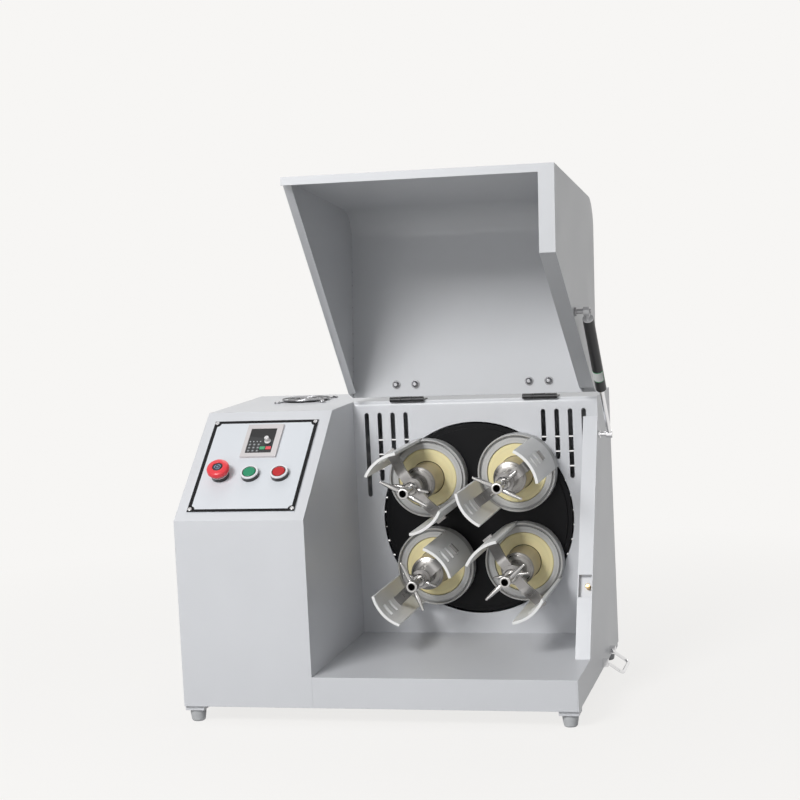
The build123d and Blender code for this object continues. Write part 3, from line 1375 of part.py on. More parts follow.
def fan_frame():
    top = TOP_Z - SHEET
    low = top - FAN_DEPTH
    half = FAN_SIZE / 2
    frame = block(-half, half, -half, half, low, top) - rod_z(0, 0, low - 1, top + 1, FAN_DUCT_RADIUS)
    frame += rod_z(0, 0, low, low + FAN_ARM_HEIGHT, FAN_HUB_RADIUS + 1)
    arm = block(-half, half, -FAN_ARM_WIDTH / 2, FAN_ARM_WIDTH / 2, low, low + FAN_ARM_HEIGHT)
    for turn in (45, 135):
        frame += Rot(0, 0, turn) * arm
    frame += rod_z(0, 0, low, low + FAN_DEPTH / 2, FAN_PIN_RADIUS)
    return Pos(FAN_X, FAN_Y, 0) * frame


def fan_rotor():
    low = TOP_Z - SHEET - FAN_DEPTH + FAN_ARM_HEIGHT + SLIDING_FIT
    high = TOP_Z - SHEET - FAN_ARM_HEIGHT
    rotor = rod_z(0, 0, low, high, FAN_HUB_RADIUS)
    blade = Pos((FAN_HUB_RADIUS + FAN_BLADE_RADIUS) / 2 - 1, 0, (low + high) / 2)
    blade_length = FAN_BLADE_RADIUS - FAN_HUB_RADIUS + 2
    blade *= Rot(FAN_BLADE_LEAN, 0, 0) * Box(blade_length, FAN_BLADE_WIDTH, FAN_BLADE_THICKNESS)
    for index in range(FAN_BLADES):
        rotor += Rot(0, 0, 360 * index / FAN_BLADES) * blade
    rotor &= rod_z(0, 0, low, high, FAN_BLADE_RADIUS)
    pin_top = TOP_Z - SHEET - FAN_DEPTH / 2 + SLIDING_FIT
    rotor -= rod_z(0, 0, low - 1, pin_top, FAN_PIN_RADIUS + RUNNING_FIT)
    return Pos(FAN_X, FAN_Y, 0) * rotor


def bracket(y, side):
    """A bail's bracket on the right side (1) or on the left side (-1) of the cabinet."""
    x0 = WIDTH if side > 0 else -BAIL_BRACKET_REACH
    z = BASE_Z + BAIL_HEIGHT
    half_width = BAIL_BRACKET_WIDTH / 2
    half_height = BAIL_BRACKET_HEIGHT / 2
    x1 = x0 + BAIL_BRACKET_REACH
    shape = block(x0, x1, y - half_width, y + half_width, z - half_height, z + half_height)
    x = (x0 + x1) / 2
    return shape - rod_y(x, z, y - half_width - 1, y + half_width + 1, BAIL_WIRE_RADIUS + RUNNING_FIT)


def bail(side):
    """The wire bail, drawn flat out to the side and then dropped to its stop."""
    inner_front = BAIL_FRONT_Y + BAIL_BRACKET_WIDTH / 2 + SLIDING_FIT + BAIL_WIRE_RADIUS
    inner_rear = BAIL_REAR_Y - BAIL_BRACKET_WIDTH / 2 - SLIDING_FIT - BAIL_WIRE_RADIUS
    stub = BAIL_BRACKET_WIDTH + BAIL_WIRE_RADIUS
    path = FilletPolyline((0, inner_front - stub), (0, inner_front), (BAIL_REACH, inner_front),
                          (BAIL_REACH, inner_rear), (0, inner_rear), (0, inner_rear + stub),
                          radius=(BAIL_INNER_BEND, BAIL_BEND, BAIL_BEND, BAIL_INNER_BEND))
    start = Plane(origin=(0, inner_front - stub, 0), z_dir=(0, 1, 0))
    wire = sweep(start * Circle(BAIL_WIRE_RADIUS), path=path)
    dropped = Rot(0, BAIL_REST_ANGLE, 0) * wire
    if side < 0:
        dropped = mirror(dropped, Plane.YZ)
    wall = WIDTH if side > 0 else 0
    return Pos(wall + side * BAIL_BRACKET_REACH / 2, 0, BASE_Z + BAIL_HEIGHT) * dropped


def screw_head():
    """A pan head with a cross recess, standing on the ground plane."""
    top = SCREW_HEAD_HEIGHT
    head = turned_up([
        (0, 0), (SCREW_HEAD_RADIUS, 0), (SCREW_HEAD_RADIUS, top - SCREW_HEAD_CHAMFER),
        (SCREW_HEAD_RADIUS - SCREW_HEAD_CHAMFER, top), (0, top),
    ])
    for length, width in (
        (SCREW_RECESS_LENGTH, SCREW_RECESS_WIDTH),
        (SCREW_RECESS_WIDTH, SCREW_RECESS_LENGTH),
    ):
        head -= Pos(0, 0, top) * Box(length, width, 2 * SCREW_RECESS_DEPTH)
    return head


def body_hardware():
    head = screw_head()
    pieces = []
    for x in (PLATE_LEFT + PLATE_SCREW_INSET_X, PLATE_RIGHT - PLATE_SCREW_INSET_X):
        for s in (PLATE_LOW + PLATE_SCREW_INSET_Y, PLATE_HIGH - PLATE_SCREW_INSET_Y):
            pieces.append(PANEL * Pos(x, s, PLATE_THICKNESS) * head)
    for x in hinge_centres():
        for side in (-1, 1):
            across = x + side * HINGE_SCREW_PITCH / 2
            pieces.append(Pos(across, HINGE_Y + HINGE_SCREW_REACH, TOP_Z + LEAF_THICKNESS) * head)
    for x, y in fan_tabs():
        pieces.append(Pos(FAN_X + x, FAN_Y + y, TOP_Z + GUARD_WIRE) * head)
    for x in (REAR_SCREW_INSET, WIDTH / 2, WIDTH - REAR_SCREW_INSET):
        for z in (BASE_Z + REAR_SCREW_INSET, TOP_Z - REAR_SCREW_INSET):
            pieces.append(Pos(x, DEPTH, z) * Rot(-90, 0, 0) * head)
    stud_z = BASE_Z + STRUT_LOWER_HEIGHT
    stud_end = STRUT_X - STRUT_SOCKET_THICKNESS / 2 - SLIDING_FIT
    stud = rod_x(STRUT_LOWER_Y, stud_z, WIDTH, WIDTH + STUD_FLANGE_THICKNESS, STUD_FLANGE_RADIUS)
    pieces.append(stud + rod_x(STRUT_LOWER_Y, stud_z, WIDTH, stud_end, STUD_RADIUS))
    barrel_end = -NOTCH_DEPTH - PLUNGER_TAIL - BARREL_TAIL
    barrel_start = -NOTCH_DEPTH - NOTCH_LINER
    barrel_bore = PLUNGER_RADIUS + RUNNING_FIT
    barrel = rod_z(0, 0, barrel_end, barrel_start, PLUNGER_RADIUS + BARREL_WALL)
    barrel -= rod_z(0, 0, barrel_end + BARREL_FLOOR, barrel_start + 1, barrel_bore)
    pieces.append(plunger_place() * barrel)
    for y in (BAIL_FRONT_Y, BAIL_REAR_Y):
        for side in (-1, 1):
            pieces.append(bracket(y, side))
    return group(*pieces)


nodes = {
    "console_shell": console_shell(),
    "base_tray": base_tray(),
    "rubber_feet": rubber_feet(),
    "right_wall": right_wall(),
    "vent_panel": vent_panel(),
    "rear_cover": rear_cover(),
    "power_inlet": power_inlet(),
    "bearing_housing": bearing_housing(),
    "sun_gear": sun_gear(),
    "motor": motor(),
    "drive_belt": drive_belt(),
    "control_plate": control_plate(),
    "keypad": keypad(),
    "button_bezels": button_bezels(),
    "fan_guard": fan_guard(),
    "fan_frame": fan_frame(),
    "hinge_deck_leaves": hinge_deck_leaves(),
    "body_hardware": body_hardware(),
    "lid_shell": lid_shell(),
    "hinge_lid_leaves": hinge_lid_leaves(),
    "lid_fasteners": lid_fasteners(),
    "strut_cylinder": strut_cylinder(),
    "strut_rod": strut_rod(),
    "fan_rotor": fan_rotor(),
    "estop_head": estop_head(),
    "start_cap": button_cap(START_X),
    "stop_cap": button_cap(STOP_X),
    "speed_knob": speed_knob(),
    "green_key": soft_key(GREEN_KEY_X),
    "red_key": soft_key(RED_KEY_X),
    "interlock_plunger": interlock_plunger(),
    "bail_right": bail(1),
    "bail_left": bail(-1),
    "carrier_disc": carrier_disc(),
    "drive_shaft": drive_shaft(),
    "motor_pulley": motor_pulley(),
}
for number in range(len(STATION_ANGLES)):
    name = str(number + 1)
    nodes["holder_" + name] = holder(number)
    nodes["jar_" + name] = jar(number)
    nodes["clamp_bar_" + name] = clamp_bar(number)
    nodes["pressure_disc_" + name] = pressure_disc(number)
    nodes["lever_screw_" + name] = lever_screw(number)
    nodes["lock_nut_" + name] = lock_nut(number)

# The part's own frame has its origin on the floor, under the middle of the whole machine.
boxes = [shape.bounding_box() for shape in nodes.values()]
middle_x = (min(box.min.X for box in boxes) + max(box.max.X for box in boxes)) / 2
middle_y = (min(box.min.Y for box in boxes) + max(box.max.Y for box in boxes)) / 2
print("middle", round(middle_x, 3), round(middle_y, 3))

for name, shape in nodes.items():
    export_step(Pos(-middle_x, -middle_y, 0) * shape, "parts/" + name + ".step")
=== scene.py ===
"""Dresses the open planetary ball mill: its finishes, its small trim and the studio round it."""
import logging
import random
from collections.abc import Callable, Mapping, Sequence
from dataclasses import dataclass
from enum import Enum
from math import atan2, cos, pi, radians, sin, sqrt

import bmesh
import bpy
from mathutils import Euler, Matrix, Vector


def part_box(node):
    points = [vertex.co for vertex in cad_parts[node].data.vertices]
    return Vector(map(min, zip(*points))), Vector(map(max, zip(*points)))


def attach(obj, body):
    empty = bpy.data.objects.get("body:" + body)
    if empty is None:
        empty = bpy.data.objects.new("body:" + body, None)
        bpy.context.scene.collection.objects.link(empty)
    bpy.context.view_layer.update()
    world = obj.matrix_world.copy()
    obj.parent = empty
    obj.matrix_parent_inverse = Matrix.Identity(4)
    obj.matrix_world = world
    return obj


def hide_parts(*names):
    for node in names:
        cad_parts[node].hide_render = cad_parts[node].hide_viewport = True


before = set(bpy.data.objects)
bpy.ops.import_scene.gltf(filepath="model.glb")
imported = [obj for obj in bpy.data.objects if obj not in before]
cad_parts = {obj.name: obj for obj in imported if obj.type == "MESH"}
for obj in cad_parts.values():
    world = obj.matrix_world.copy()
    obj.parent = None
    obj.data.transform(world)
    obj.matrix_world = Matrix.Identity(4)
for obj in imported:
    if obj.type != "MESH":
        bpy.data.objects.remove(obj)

log = logging.getLogger("ball_mill")

MM = 0.001
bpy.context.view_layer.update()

# The cabinet's own corner: left side, front plane and floor, in metres
CORNER = Vector((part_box("console_shell")[0].x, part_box("console_shell")[0].y, 0.0))

# Edges sharper than this are rounded and shaded as edges
CREASE = radians(32)

# Faces that lie flatter to each other than this are joined, and so are corners this near, in metres
FLAT = radians(0.3)
NEAR = 2e-6

Colour = tuple[float, float, float]
Point = tuple[float, float, float]
Pair = tuple[float, float]
Profile = Sequence[Pair]
Socket = bpy.types.NodeSocket
Sockets = bpy.types.bpy_prop_collection
Tree = bpy.types.NodeTree
Item = bpy.types.Object
Work = bmesh.types.BMesh
Ring = list[bmesh.types.BMVert]

X_AXIS = Vector((1, 0, 0))


class Body(Enum):
    """The moving bodies that carry the scene's own pieces. Each lever screw has one too, by number."""

    CABINET = "cabinet"
    LID = "lid"
    STRUT = "strut_cylinder"
    ESTOP = "estop_head"


class Slot(Enum):
    """The material slots meant for the scene's own pieces; this script gives none of them out."""

    POWDER_COAT = "powder_coat"
    BLACK_STEEL = "black_steel"
    PLATE_WHITE = "plate_white"
    KEYPAD_CASE = "keypad_case"
    BEZEL_PLASTIC = "bezel_plastic"
    SIGNAL_RED = "signal_red"
    BRIGHT_PLATING = "bright_plating"
    BRIGHT_STEEL = "bright_steel"


def at(x: float, y: float, z: float) -> Vector:
    """Gives the frame's point so many millimetres across, behind and above the cabinet's corner."""
    return CORNER + Vector((x, y, z)) * MM


def stand(origin: Vector, across: Vector, up: Vector, out: Vector) -> Matrix:
    """Gives the place at an origin, in metres, whose X, Y and Z run across, up and out."""
    return Matrix.Translation(origin) @ Matrix((across, up, out)).transposed().to_4x4()


def moved(x: float, y: float, z: float) -> Matrix:
    """Gives a shift in millimetres."""
    return Matrix.Translation(Vector((x, y, z)) * MM)


# Node trees


class Graph:
    """Adds nodes to one node tree, a line for each."""

    NUMBERS = ("LENGTH", "DISTANCE", "DOT_PRODUCT")

    def __init__(self, tree: Tree) -> None:
        """Keeps the tree that the nodes go into."""
        self.tree = tree

    def add(
        self, kind: str, sockets: Mapping[str | int, object] | None = None, **settings: object
    ) -> bpy.types.Node:
        """Adds a node, sets it up and fills its sockets.

        Args:
            kind: the node's Blender type.
            sockets: what goes into each input, a value or another node's output.
            **settings: the node's own properties.

        Returns:
            The new node.
        """
        node = self.tree.nodes.new(kind)
        for name, value in settings.items():
            setattr(node, name, value)
        for key, value in (sockets or {}).items():
            if isinstance(value, Socket):
                self.tree.links.new(value, node.inputs[key])
            else:
                node.inputs[key].default_value = value
        return node

    def place(self) -> Socket:
        """Gives the place on the object, in metres."""
        return self.add("ShaderNodeTexCoord").outputs["Object"]

    def math(
        self, operation: str, first: object, second: object = 0.0, clamp: bool = False
    ) -> Socket:
        """Adds one sum of two numbers, held between 0 and 1 if clamped, and gives its output."""
        node = self.add("ShaderNodeMath", {0: first, 1: second}, operation=operation, use_clamp=clamp)
        return node.outputs[0]

    def vector(self, operation: str, first: object, second: object = (0.0, 0.0, 0.0)) -> Socket:
        """Adds one sum of two vectors, and gives its output, a number where the sum gives one."""
        node = self.add("ShaderNodeVectorMath", {0: first, 1: second}, operation=operation)
        return node.outputs["Value" if operation in self.NUMBERS else "Vector"]

    def noise(self, place: object, scale: object, detail: float) -> Socket:
        """Adds a noise with so many cells in a metre and so many finer layers, and gives its output."""
        sockets = {"Vector": place, "Scale": scale, "Detail": detail}
        return self.add("ShaderNodeTexNoise", sockets).outputs[0]

    def span(self, value: object, low: float, high: float, start: float = 0.3, end: float = 0.7) -> Socket:
        """Stretches a value's range from start to end over low to high, and gives the output."""
        sockets = {"Value": value, "From Min": start, "From Max": end, "To Min": low, "To Max": high}
        return self.add("ShaderNodeMapRange", sockets).outputs[0]

    def mix(self, share: object, first: object, second: object) -> Socket:
        """Mixes two colours by the share of the second one, and gives the output."""
        sockets = {0: share, 6: opaque(first), 7: opaque(second)}
        return self.add("ShaderNodeMix", sockets, data_type="RGBA").outputs[2]

    def blend(self, share: object, first: object, second: float) -> Socket:
        """Mixes two numbers by the share of the second one, and gives the output."""
        return self.add("ShaderNodeMix", {0: share, 2: first, 3: second}, data_type="FLOAT").outputs[0]

    def effect(self, tree: Tree, sockets: Mapping[str, object]) -> Sockets:
        """Places a shared effect with this material's own values, and gives its outputs."""
        return self.add("ShaderNodeGroup", sockets, node_tree=tree).outputs


def opaque(colour: object) -> object:
    """Gives a plain colour its fourth number and leaves an output as it is."""
    return (*colour, 1.0) if isinstance(colour, tuple) else colour


def shaded(colour: Colour, share: float) -> Colour:
    """Makes a colour lighter or darker by a share."""
    return tuple(min(1.0, part * share) for part in colour)


Results = Mapping[str, object]
Fill = Callable[[Graph, Sockets], Results]

ORIGIN = (0.0, 0.0, 0.0)

# A zone's edge is a tenth of a millimetre soft
ZONE_EDGE = 10.0


def shared(*outputs: str, **inputs: float | Point) -> Callable[[Fill], Callable[[], Tree]]:
    """Turns a function that adds an effect's nodes into one that gives them as a group, built once.

    Args:
        *outputs: names of the group's outputs, which are all numbers.
        **inputs: the group's inputs with their first values, numbers or vectors.

    Returns:
        The decorator. The group gets the function's name.
    """

    def decorate(fill: Fill) -> Callable[[], Tree]:
        """Gives the function that builds the group, or finds it.

        Args:
            fill: adds the nodes and says what goes into each output.

        Returns:
            That function.
        """

        def group() -> Tree:
            """Gives the group.

            Returns:
                The group's node tree.
            """
            known = bpy.data.node_groups.get(fill.__name__)
            if known:
                return known
            tree = bpy.data.node_groups.new(fill.__name__, "ShaderNodeTree")
            for label, value in inputs.items():
                kind = "NodeSocketVector" if isinstance(value, tuple) else "NodeSocketFloat"
                tree.interface.new_socket(label, in_out="INPUT", socket_type=kind).default_value = value
            for label in outputs:
                tree.interface.new_socket(label, in_out="OUTPUT", socket_type="NodeSocketFloat")
            graph = Graph(tree)
            graph.add("NodeGroupOutput", fill(graph, graph.add("NodeGroupInput").outputs))
            return tree

        return group

    return decorate


def from_line(graph: Graph, centre: Socket) -> tuple[Socket, Socket]:
    """Measures the place from a line along Y through a centre.

    Args:
        graph: the group's nodes.
        centre: the centre's output.

    Returns:
        The outputs of the distance to the line and of the way along it, in metres.
    """
    away = graph.vector("SUBTRACT", graph.place(), centre)
    radius = graph.vector("LENGTH", graph.vector("MULTIPLY", away, (1.0, 0.0, 1.0)))
    return radius, graph.add("ShaderNodeSeparateXYZ", {0: away}).outputs[1]


def inside(graph: Graph, place: Socket, start: Sockets) -> Results:
    """Masks the places between the group's Low and High.

    Args:
        graph: the group's nodes.
        place: the place's output, in millimetres.
        start: the group's inputs.

    Returns:
        The mask, as the group's output.
    """
    over = graph.vector("SUBTRACT", place, start["Low"])
    under = graph.vector("SUBTRACT", start["High"], place)
    parts = graph.add("ShaderNodeSeparateXYZ", {0: graph.vector("MINIMUM", over, under)}).outputs
    nearest = graph.math("MINIMUM", graph.math("MINIMUM", parts[0], parts[1]), parts[2])
    return {"Mask": graph.math("MULTIPLY", nearest, ZONE_EDGE, clamp=True)}


@shared("Height", "Tone", Scale=600.0)
def fine_grain(graph: Graph, start: Sockets) -> Results:
    """Fine cells as a height and slow drifts as a tone.

    Args:
        graph: the group's nodes.
        start: the group's inputs.

    Returns:
        The height and the tone.
    """
    place = graph.place()
    fine = graph.noise(place, scale=start["Scale"], detail=2.0)
    return {"Height": fine, "Tone": graph.noise(place, scale=9.0, detail=4.0)}


@shared("Height", "Tone", Centre=ORIGIN, Rings=1800.0)
def turning_marks(graph: Graph, start: Sockets) -> Results:
    """Turning marks round a line along Y: fine ones as a height and broad bands as a tone.

    Args:
        graph: the group's nodes.
        start: the group's inputs.

    Returns:
        The height and the tone.
    """
    radius, depth = from_line(graph, start["Centre"])
    run = graph.math("MULTIPLY", graph.math("ADD", radius, depth), start["Rings"])
    results = {}
    for label, along in (("Height", run), ("Tone", graph.math("MULTIPLY", run, 0.12))):
        sockets = {"W": along, "Scale": 1.0, "Detail": 2.0}
        results[label] = graph.add("ShaderNodeTexNoise", sockets, noise_dimensions="1D").outputs[0]
    return results


@shared("Mask", Amount=4.0)
def edge_wear(graph: Graph, start: Sockets) -> Results:
    """A mask of the edges that hands and tools have rubbed: the rounded normal against the real one.

    Args:
        graph: the group's nodes.
        start: the group's inputs.

    Returns:
        The mask.
    """
    rounded = graph.add("ShaderNodeBevel", {"Radius": 0.0008}, samples=4).outputs[0]
    true = graph.add("ShaderNodeNewGeometry").outputs["Normal"]
    bent = graph.math("SUBTRACT", 1.0, graph.vector("DOT_PRODUCT", rounded, true))
    patch = graph.span(graph.noise(graph.place(), scale=160.0, detail=3.0), 0.2, 1.0)
    return {"Mask": graph.math("MULTIPLY", graph.math("MULTIPLY", bent, start["Amount"]), patch, clamp=True)}


@shared("Mask", Amount=0.1)
def dust_film(graph: Graph, start: Sockets) -> Results:
    """A mask of the thin dust on what faces up, broken into patches.

    Args:
        graph: the group's nodes.
        start: the group's inputs.

    Returns:
        The mask.
    """
    normal = graph.add("ShaderNodeNewGeometry").outputs["Normal"]
    up = graph.add("ShaderNodeSeparateXYZ", {0: normal}).outputs[2]
    patch = graph.span(graph.noise(graph.place(), scale=26.0, detail=5.0), 0.3, 1.0)
    cover = graph.math("MULTIPLY", graph.span(up, 0.0, 1.0, 0.4, 1.0), patch)
    return {"Mask": graph.math("MULTIPLY", cover, start["Amount"], clamp=True)}


@shared("Mask", Low=ORIGIN, High=ORIGIN, Tilt=0.0)
def panel_zone(graph: Graph, start: Sockets) -> Results:
    """A mask of a box on the control slope: across it, up it and out of it.

    Args:
        graph: the group's nodes.
        start: the group's inputs.

    Returns:
        The mask.
    """
    slope = ControlPanel().place()
    away = graph.vector("SUBTRACT", graph.place(), slope.translation)
    directions = slope.to_3x3().transposed()
    across, up, out = (graph.vector("DOT_PRODUCT", away, direction / MM) for direction in directions)
    leant = graph.math("ADD", up, graph.math("MULTIPLY", across, start["Tilt"]))
    return inside(graph, graph.add("ShaderNodeCombineXYZ", {0: across, 1: leant, 2: out}).outputs[0], start)


@shared("Mask", Low=ORIGIN, High=ORIGIN, Centre=ORIGIN)
def round_zone(graph: Graph, start: Sockets) -> Results:
    """A mask of a ring round a line along Y: by its radius and its height in front of the centre.

    Args:
        graph: the group's nodes.
        start: the group's inputs.

    Returns:
        The mask.
    """
    radius, depth = (graph.math("MULTIPLY", length, 1 / MM) for length in from_line(graph, start["Centre"]))
    sizes = {0: radius, 1: graph.math("MULTIPLY", depth, -1.0), 2: 0.0}
    return inside(graph, graph.add("ShaderNodeCombineXYZ", sizes).outputs[0], start)


# Finishes


@dataclass(frozen=True)
class Zone:
    """A part of a surface with its own colour and gloss, from a low to a high place in millimetres."""

    low: Point
    high: Point
    colour: Colour
    roughness: float
    tilt: float = 0.0


@dataclass(frozen=True)
class Finish:
    """A finish: its colour and gloss, and how both vary over the surface. Lengths are in millimetres."""

    name: str
    colour: Colour
    roughness: float
    metallic: float = 0.0
    specular: float = 0.5
    coat: float = 0.0
    coat_roughness: float = 0.12
    grain: float = 1.6
    depth: float = 0.02
    mottle: float = 0.03
    gloss_change: float = 0.05
    wear: float = 0.0
    worn: Colour = (0.6, 0.6, 0.6)
    dust: float = 0.0
    dust_colour: Colour = (0.62, 0.6, 0.57)
    dust_roughness: float = 0.5
    zones: tuple[Zone, ...] = ()

    def relief(self, graph: Graph) -> tuple[Socket, Socket]:
        """Gives the outputs of the bare surface's height and tone."""
        cells = graph.effect(fine_grain(), {"Scale": 1.0 / (self.grain * MM)})
        return cells["Height"], cells["Tone"]

    def soften(self, graph: Graph, sockets: dict[str, object]) -> None:
        """Adds what only this kind of finish has to the shader's sockets. Most have nothing to add."""

    def mask(self, graph: Graph, zone: Zone) -> Socket:
        """Gives the output that is 1 in a zone. Each kind of finish with zones has its own."""
        raise NotImplementedError

    def material(self) -> bpy.types.Material:
        """Builds the material, or gives the one that is there already.

        Returns:
            The material.
        """
        name = f"finish_{self.name}"
        known = bpy.data.materials.get(name)
        if known:
            return known
        material, graph = empty_material(name)
        height, tone = self.relief(graph)
        spread = graph.span(tone, 0.0, 1.0)
        colour = graph.mix(spread, shaded(self.colour, 1 - self.mottle), shaded(self.colour, 1 + self.mottle))
        roughness = graph.span(tone, self.roughness - self.gloss_change, self.roughness + self.gloss_change)
        if self.wear:
            rubbed = graph.effect(edge_wear(), {"Amount": self.wear})["Mask"]
            colour = graph.mix(rubbed, colour, self.worn)
        if self.dust:
            film = graph.effect(dust_film(), {"Amount": self.dust})["Mask"]
            colour = graph.mix(film, colour, self.dust_colour)
            duller = graph.math("MULTIPLY", film, self.dust_roughness)
            roughness = graph.math("ADD", roughness, duller, clamp=True)
        for zone in self.zones:
            mask = self.mask(graph, zone)
            colour = graph.mix(mask, colour, zone.colour)
            roughness = graph.blend(mask, roughness, zone.roughness)
        bump = {"Strength": 1.0, "Distance": self.depth * MM, "Height": height}
        sockets = {
            "Base Color": colour,
            "Roughness": roughness,
            "Metallic": self.metallic,
            "Specular IOR Level": self.specular,
            "Coat Weight": self.coat,
            "Coat Roughness": self.coat_roughness,
            "Normal": graph.add("ShaderNodeBump", bump).outputs[0],
        }
        self.soften(graph, sockets)
        shader = graph.add("ShaderNodeBsdfPrincipled", sockets)
        graph.add("ShaderNodeOutputMaterial", {"Surface": shader.outputs[0]})
        material.diffuse_color = (*self.colour, 1.0)
        return material


def empty_material(name: str) -> tuple[bpy.types.Material, Graph]:
    """Makes a material without nodes, and gives it with the graph of its node tree.

    Args:
        name: the material's name.

    Returns:
        The material and its graph.
    """
    material = bpy.data.materials.new(name)
    material.use_nodes = True
    material.node_tree.nodes.clear()
    return material, Graph(material.node_tree)


@dataclass(frozen=True)
class PowderCoat(Finish):
    """Baked powder paint with a soft orange-peel skin."""

    grain: float = 2.2
    depth: float = 0.035
    mottle: float = 0.015
    dust: float = 0.05


@dataclass(frozen=True)
class Moulded(Finish):
    """Moulded plastic or rubber with a fine spark-eroded skin."""

    grain: float = 0.5
    depth: float = 0.03
    mottle: float = 0.05


@dataclass(frozen=True)
class PanelMoulding(Moulded):
    """Moulded plastic on the control slope, with zones told in the slope's own place."""

    def mask(self, graph: Graph, zone: Zone) -> Socket:
        """Masks a zone told across, up and out of the slope."""
        return graph.effect(panel_zone(), {"Low": zone.low, "High": zone.high, "Tilt": zone.tilt})["Mask"]


@dataclass(frozen=True)
class SmoothMoulding(Moulded):
    """Moulded plastic from a polished tool, as buttons are."""

    grain: float = 0.9
    depth: float = 0.008


@dataclass(frozen=True)
class EndFitted(Finish):
    """Coated steel with a fitting of other colour and gloss within reach of one end, a point of the frame."""

    end: Point = ORIGIN
    reach: float = 20.0

    def mask(self, graph: Graph, zone: Zone) -> Socket:
        """Masks what is near the end. The zone brings its colour and gloss."""
        return graph.math("LESS_THAN", graph.vector("DISTANCE", graph.place(), self.end), self.reach * MM)


@dataclass(frozen=True)
class Metal(Finish):
    """Bare or plated metal with fine scratches."""

    metallic: float = 1.0
    grain: float = 0.25
    depth: float = 0.004
    mottle: float = 0.08
    gloss_change: float = 0.06


@dataclass(frozen=True)
class Turned:
    """What a finish from the lathe has besides: rings and zones round its own centre."""

    centre: Point = ORIGIN
    pitch: float = 0.5

    def relief(self, graph: Graph) -> tuple[Socket, Socket]:
        """Gives the outputs of the turned rings' height and tone."""
        marks = graph.effect(turning_marks(), {"Centre": self.centre, "Rings": 1.0 / (self.pitch * MM)})
        return marks["Height"], marks["Tone"]

    def mask(self, graph: Graph, zone: Zone) -> Socket:
        """Masks a zone told by radius and height."""
        return graph.effect(round_zone(), {"Low": zone.low, "High": zone.high, "Centre": self.centre})["Mask"]


@dataclass(frozen=True)
class TurnedMetal(Turned, Metal):
    """Metal from the lathe."""


@dataclass(frozen=True)
class TurnedNylon(Turned, Moulded):
    """Nylon from the lathe, which lets a little light in."""

    pitch: float = 0.8
    glow: float = 0.15
    spread: Point = (0.004, 0.003, 0.002)

    def soften(self, graph: Graph, sockets: dict[str, object]) -> None:
        """Lets light spread a few millimetres under the skin."""
        sockets["Subsurface Weight"] = self.glow
        sockets["Subsurface Radius"] = self.spread


CABINET_PAINT = PowderCoat("cabinet_powder_coat", (0.665, 0.675, 0.7), 0.42, coat=0.15)
# The lid wears the cabinet's own powder coat. This copy is painted about a seventh darker as painted shade,
# because the lid stands nearer the key lamp.
LID_PAINT_PAINTED_SHADE = PowderCoat("lid_powder_coat_painted_shade", (0.575, 0.585, 0.605), 0.42, coat=0.15)
PLATE_PAINT = PowderCoat("plate_white", (0.69, 0.715, 0.75), 0.45, dust=0.0, depth=0.01)
PLATE_LINE = Moulded("plate_black_line", (0.006, 0.006, 0.007), 0.5, specular=0.15)
FOOT_MOULDING = Moulded("foot_grey_moulding", (0.52, 0.53, 0.54), 0.55, dust=0.2)
BLACK_PLASTIC = Moulded("black_plastic", (0.02, 0.02, 0.022), 0.45, dust=0.1)
CAST_IRON = Finish("cast_housing_paint", (0.2, 0.22, 0.24), 0.5, grain=1.2, depth=0.12, mottle=0.1, dust=0.2)
GEAR_STEEL = Metal("gear_steel", (0.45, 0.44, 0.43), 0.38, grain=0.8, depth=0.01)
MOTOR_PAINT = Finish("motor_paint", (0.09, 0.12, 0.16), 0.4, grain=2.0, depth=0.06, dust=0.25, wear=1.5)
BELT_RUBBER = Moulded("belt_rubber", (0.02, 0.02, 0.02), 0.75, grain=0.8, depth=0.1, dust=0.25)
SEAL_RUBBER = Moulded("button_seal_rubber", (0.012, 0.014, 0.013), 0.5)
KEYPAD_KEY = Moulded("keypad_round_keys", (0.16, 0.165, 0.17), 0.4)
KEYPAD_LAMP = Moulded("keypad_lamps", (0.5, 0.52, 0.54), 0.25)
KEY_GREEN = Moulded("key_green", (0.07, 0.37, 0.18), 0.4)
KEY_RED = Moulded("key_red", (0.76, 0.1, 0.12), 0.4)
KNOB_WHITE = Moulded("knob_white", (0.74, 0.73, 0.73), 0.34)
INSERT_BLACK = Moulded("insert_black", (0.012, 0.016, 0.02), 0.3)
INSERT_BLUE = Moulded("insert_grey_blue", (0.17, 0.23, 0.33), 0.35)
LABEL_WHITE = Moulded("label_white", (0.8, 0.82, 0.8), 0.35)
LABEL_GREEN = Moulded("label_green", (0.05, 0.32, 0.14), 0.4)
SIGNAL_RED = SmoothMoulding("signal_red", (0.78, 0.035, 0.05), 0.3, coat=0.2)
LENS_GREEN = SmoothMoulding("lens_green", (0.002, 0.24, 0.11), 0.3, coat=0.1)
LENS_RED = SmoothMoulding("lens_red", (0.48, 0.002, 0.006), 0.3, coat=0.1)
DULL_PLATING = Metal("dull_plating", (0.26, 0.26, 0.27), 0.34, depth=0.02)
PLATING = Metal("bright_plating", (0.78, 0.78, 0.79), 0.12, grain=0.6, depth=0.002, mottle=0.05)
CHROME_ROD = Metal("rod_chrome", (0.82, 0.82, 0.83), 0.07, grain=0.3, depth=0.001, mottle=0.03)
BRASS = Metal("plunger_brass", (0.72, 0.5, 0.22), 0.24)
BLACK_STEEL = Finish("black_steel", (0.016, 0.016, 0.018), 0.38, metallic=0.2,
                     wear=1.2, worn=(0.25, 0.25, 0.26), dust=0.1)
DISC_BLACK = Finish("disc_black_oxide", (0.004, 0.004, 0.005), 0.42, specular=0.14, grain=1.4, mottle=0.2)
CLAMP_STEEL = Metal("clamp_steel", (0.33, 0.32, 0.315), 0.3, grain=0.5, depth=0.006, mottle=0.12,
                    wear=0.8, worn=(0.8, 0.79, 0.78))
NUT_STEEL = Metal("nut_steel", (0.42, 0.41, 0.4), 0.2, grain=0.5)
WELD_METAL = Finish("weld_spot", (0.42, 0.42, 0.43), 0.5, grain=0.8, depth=0.03)

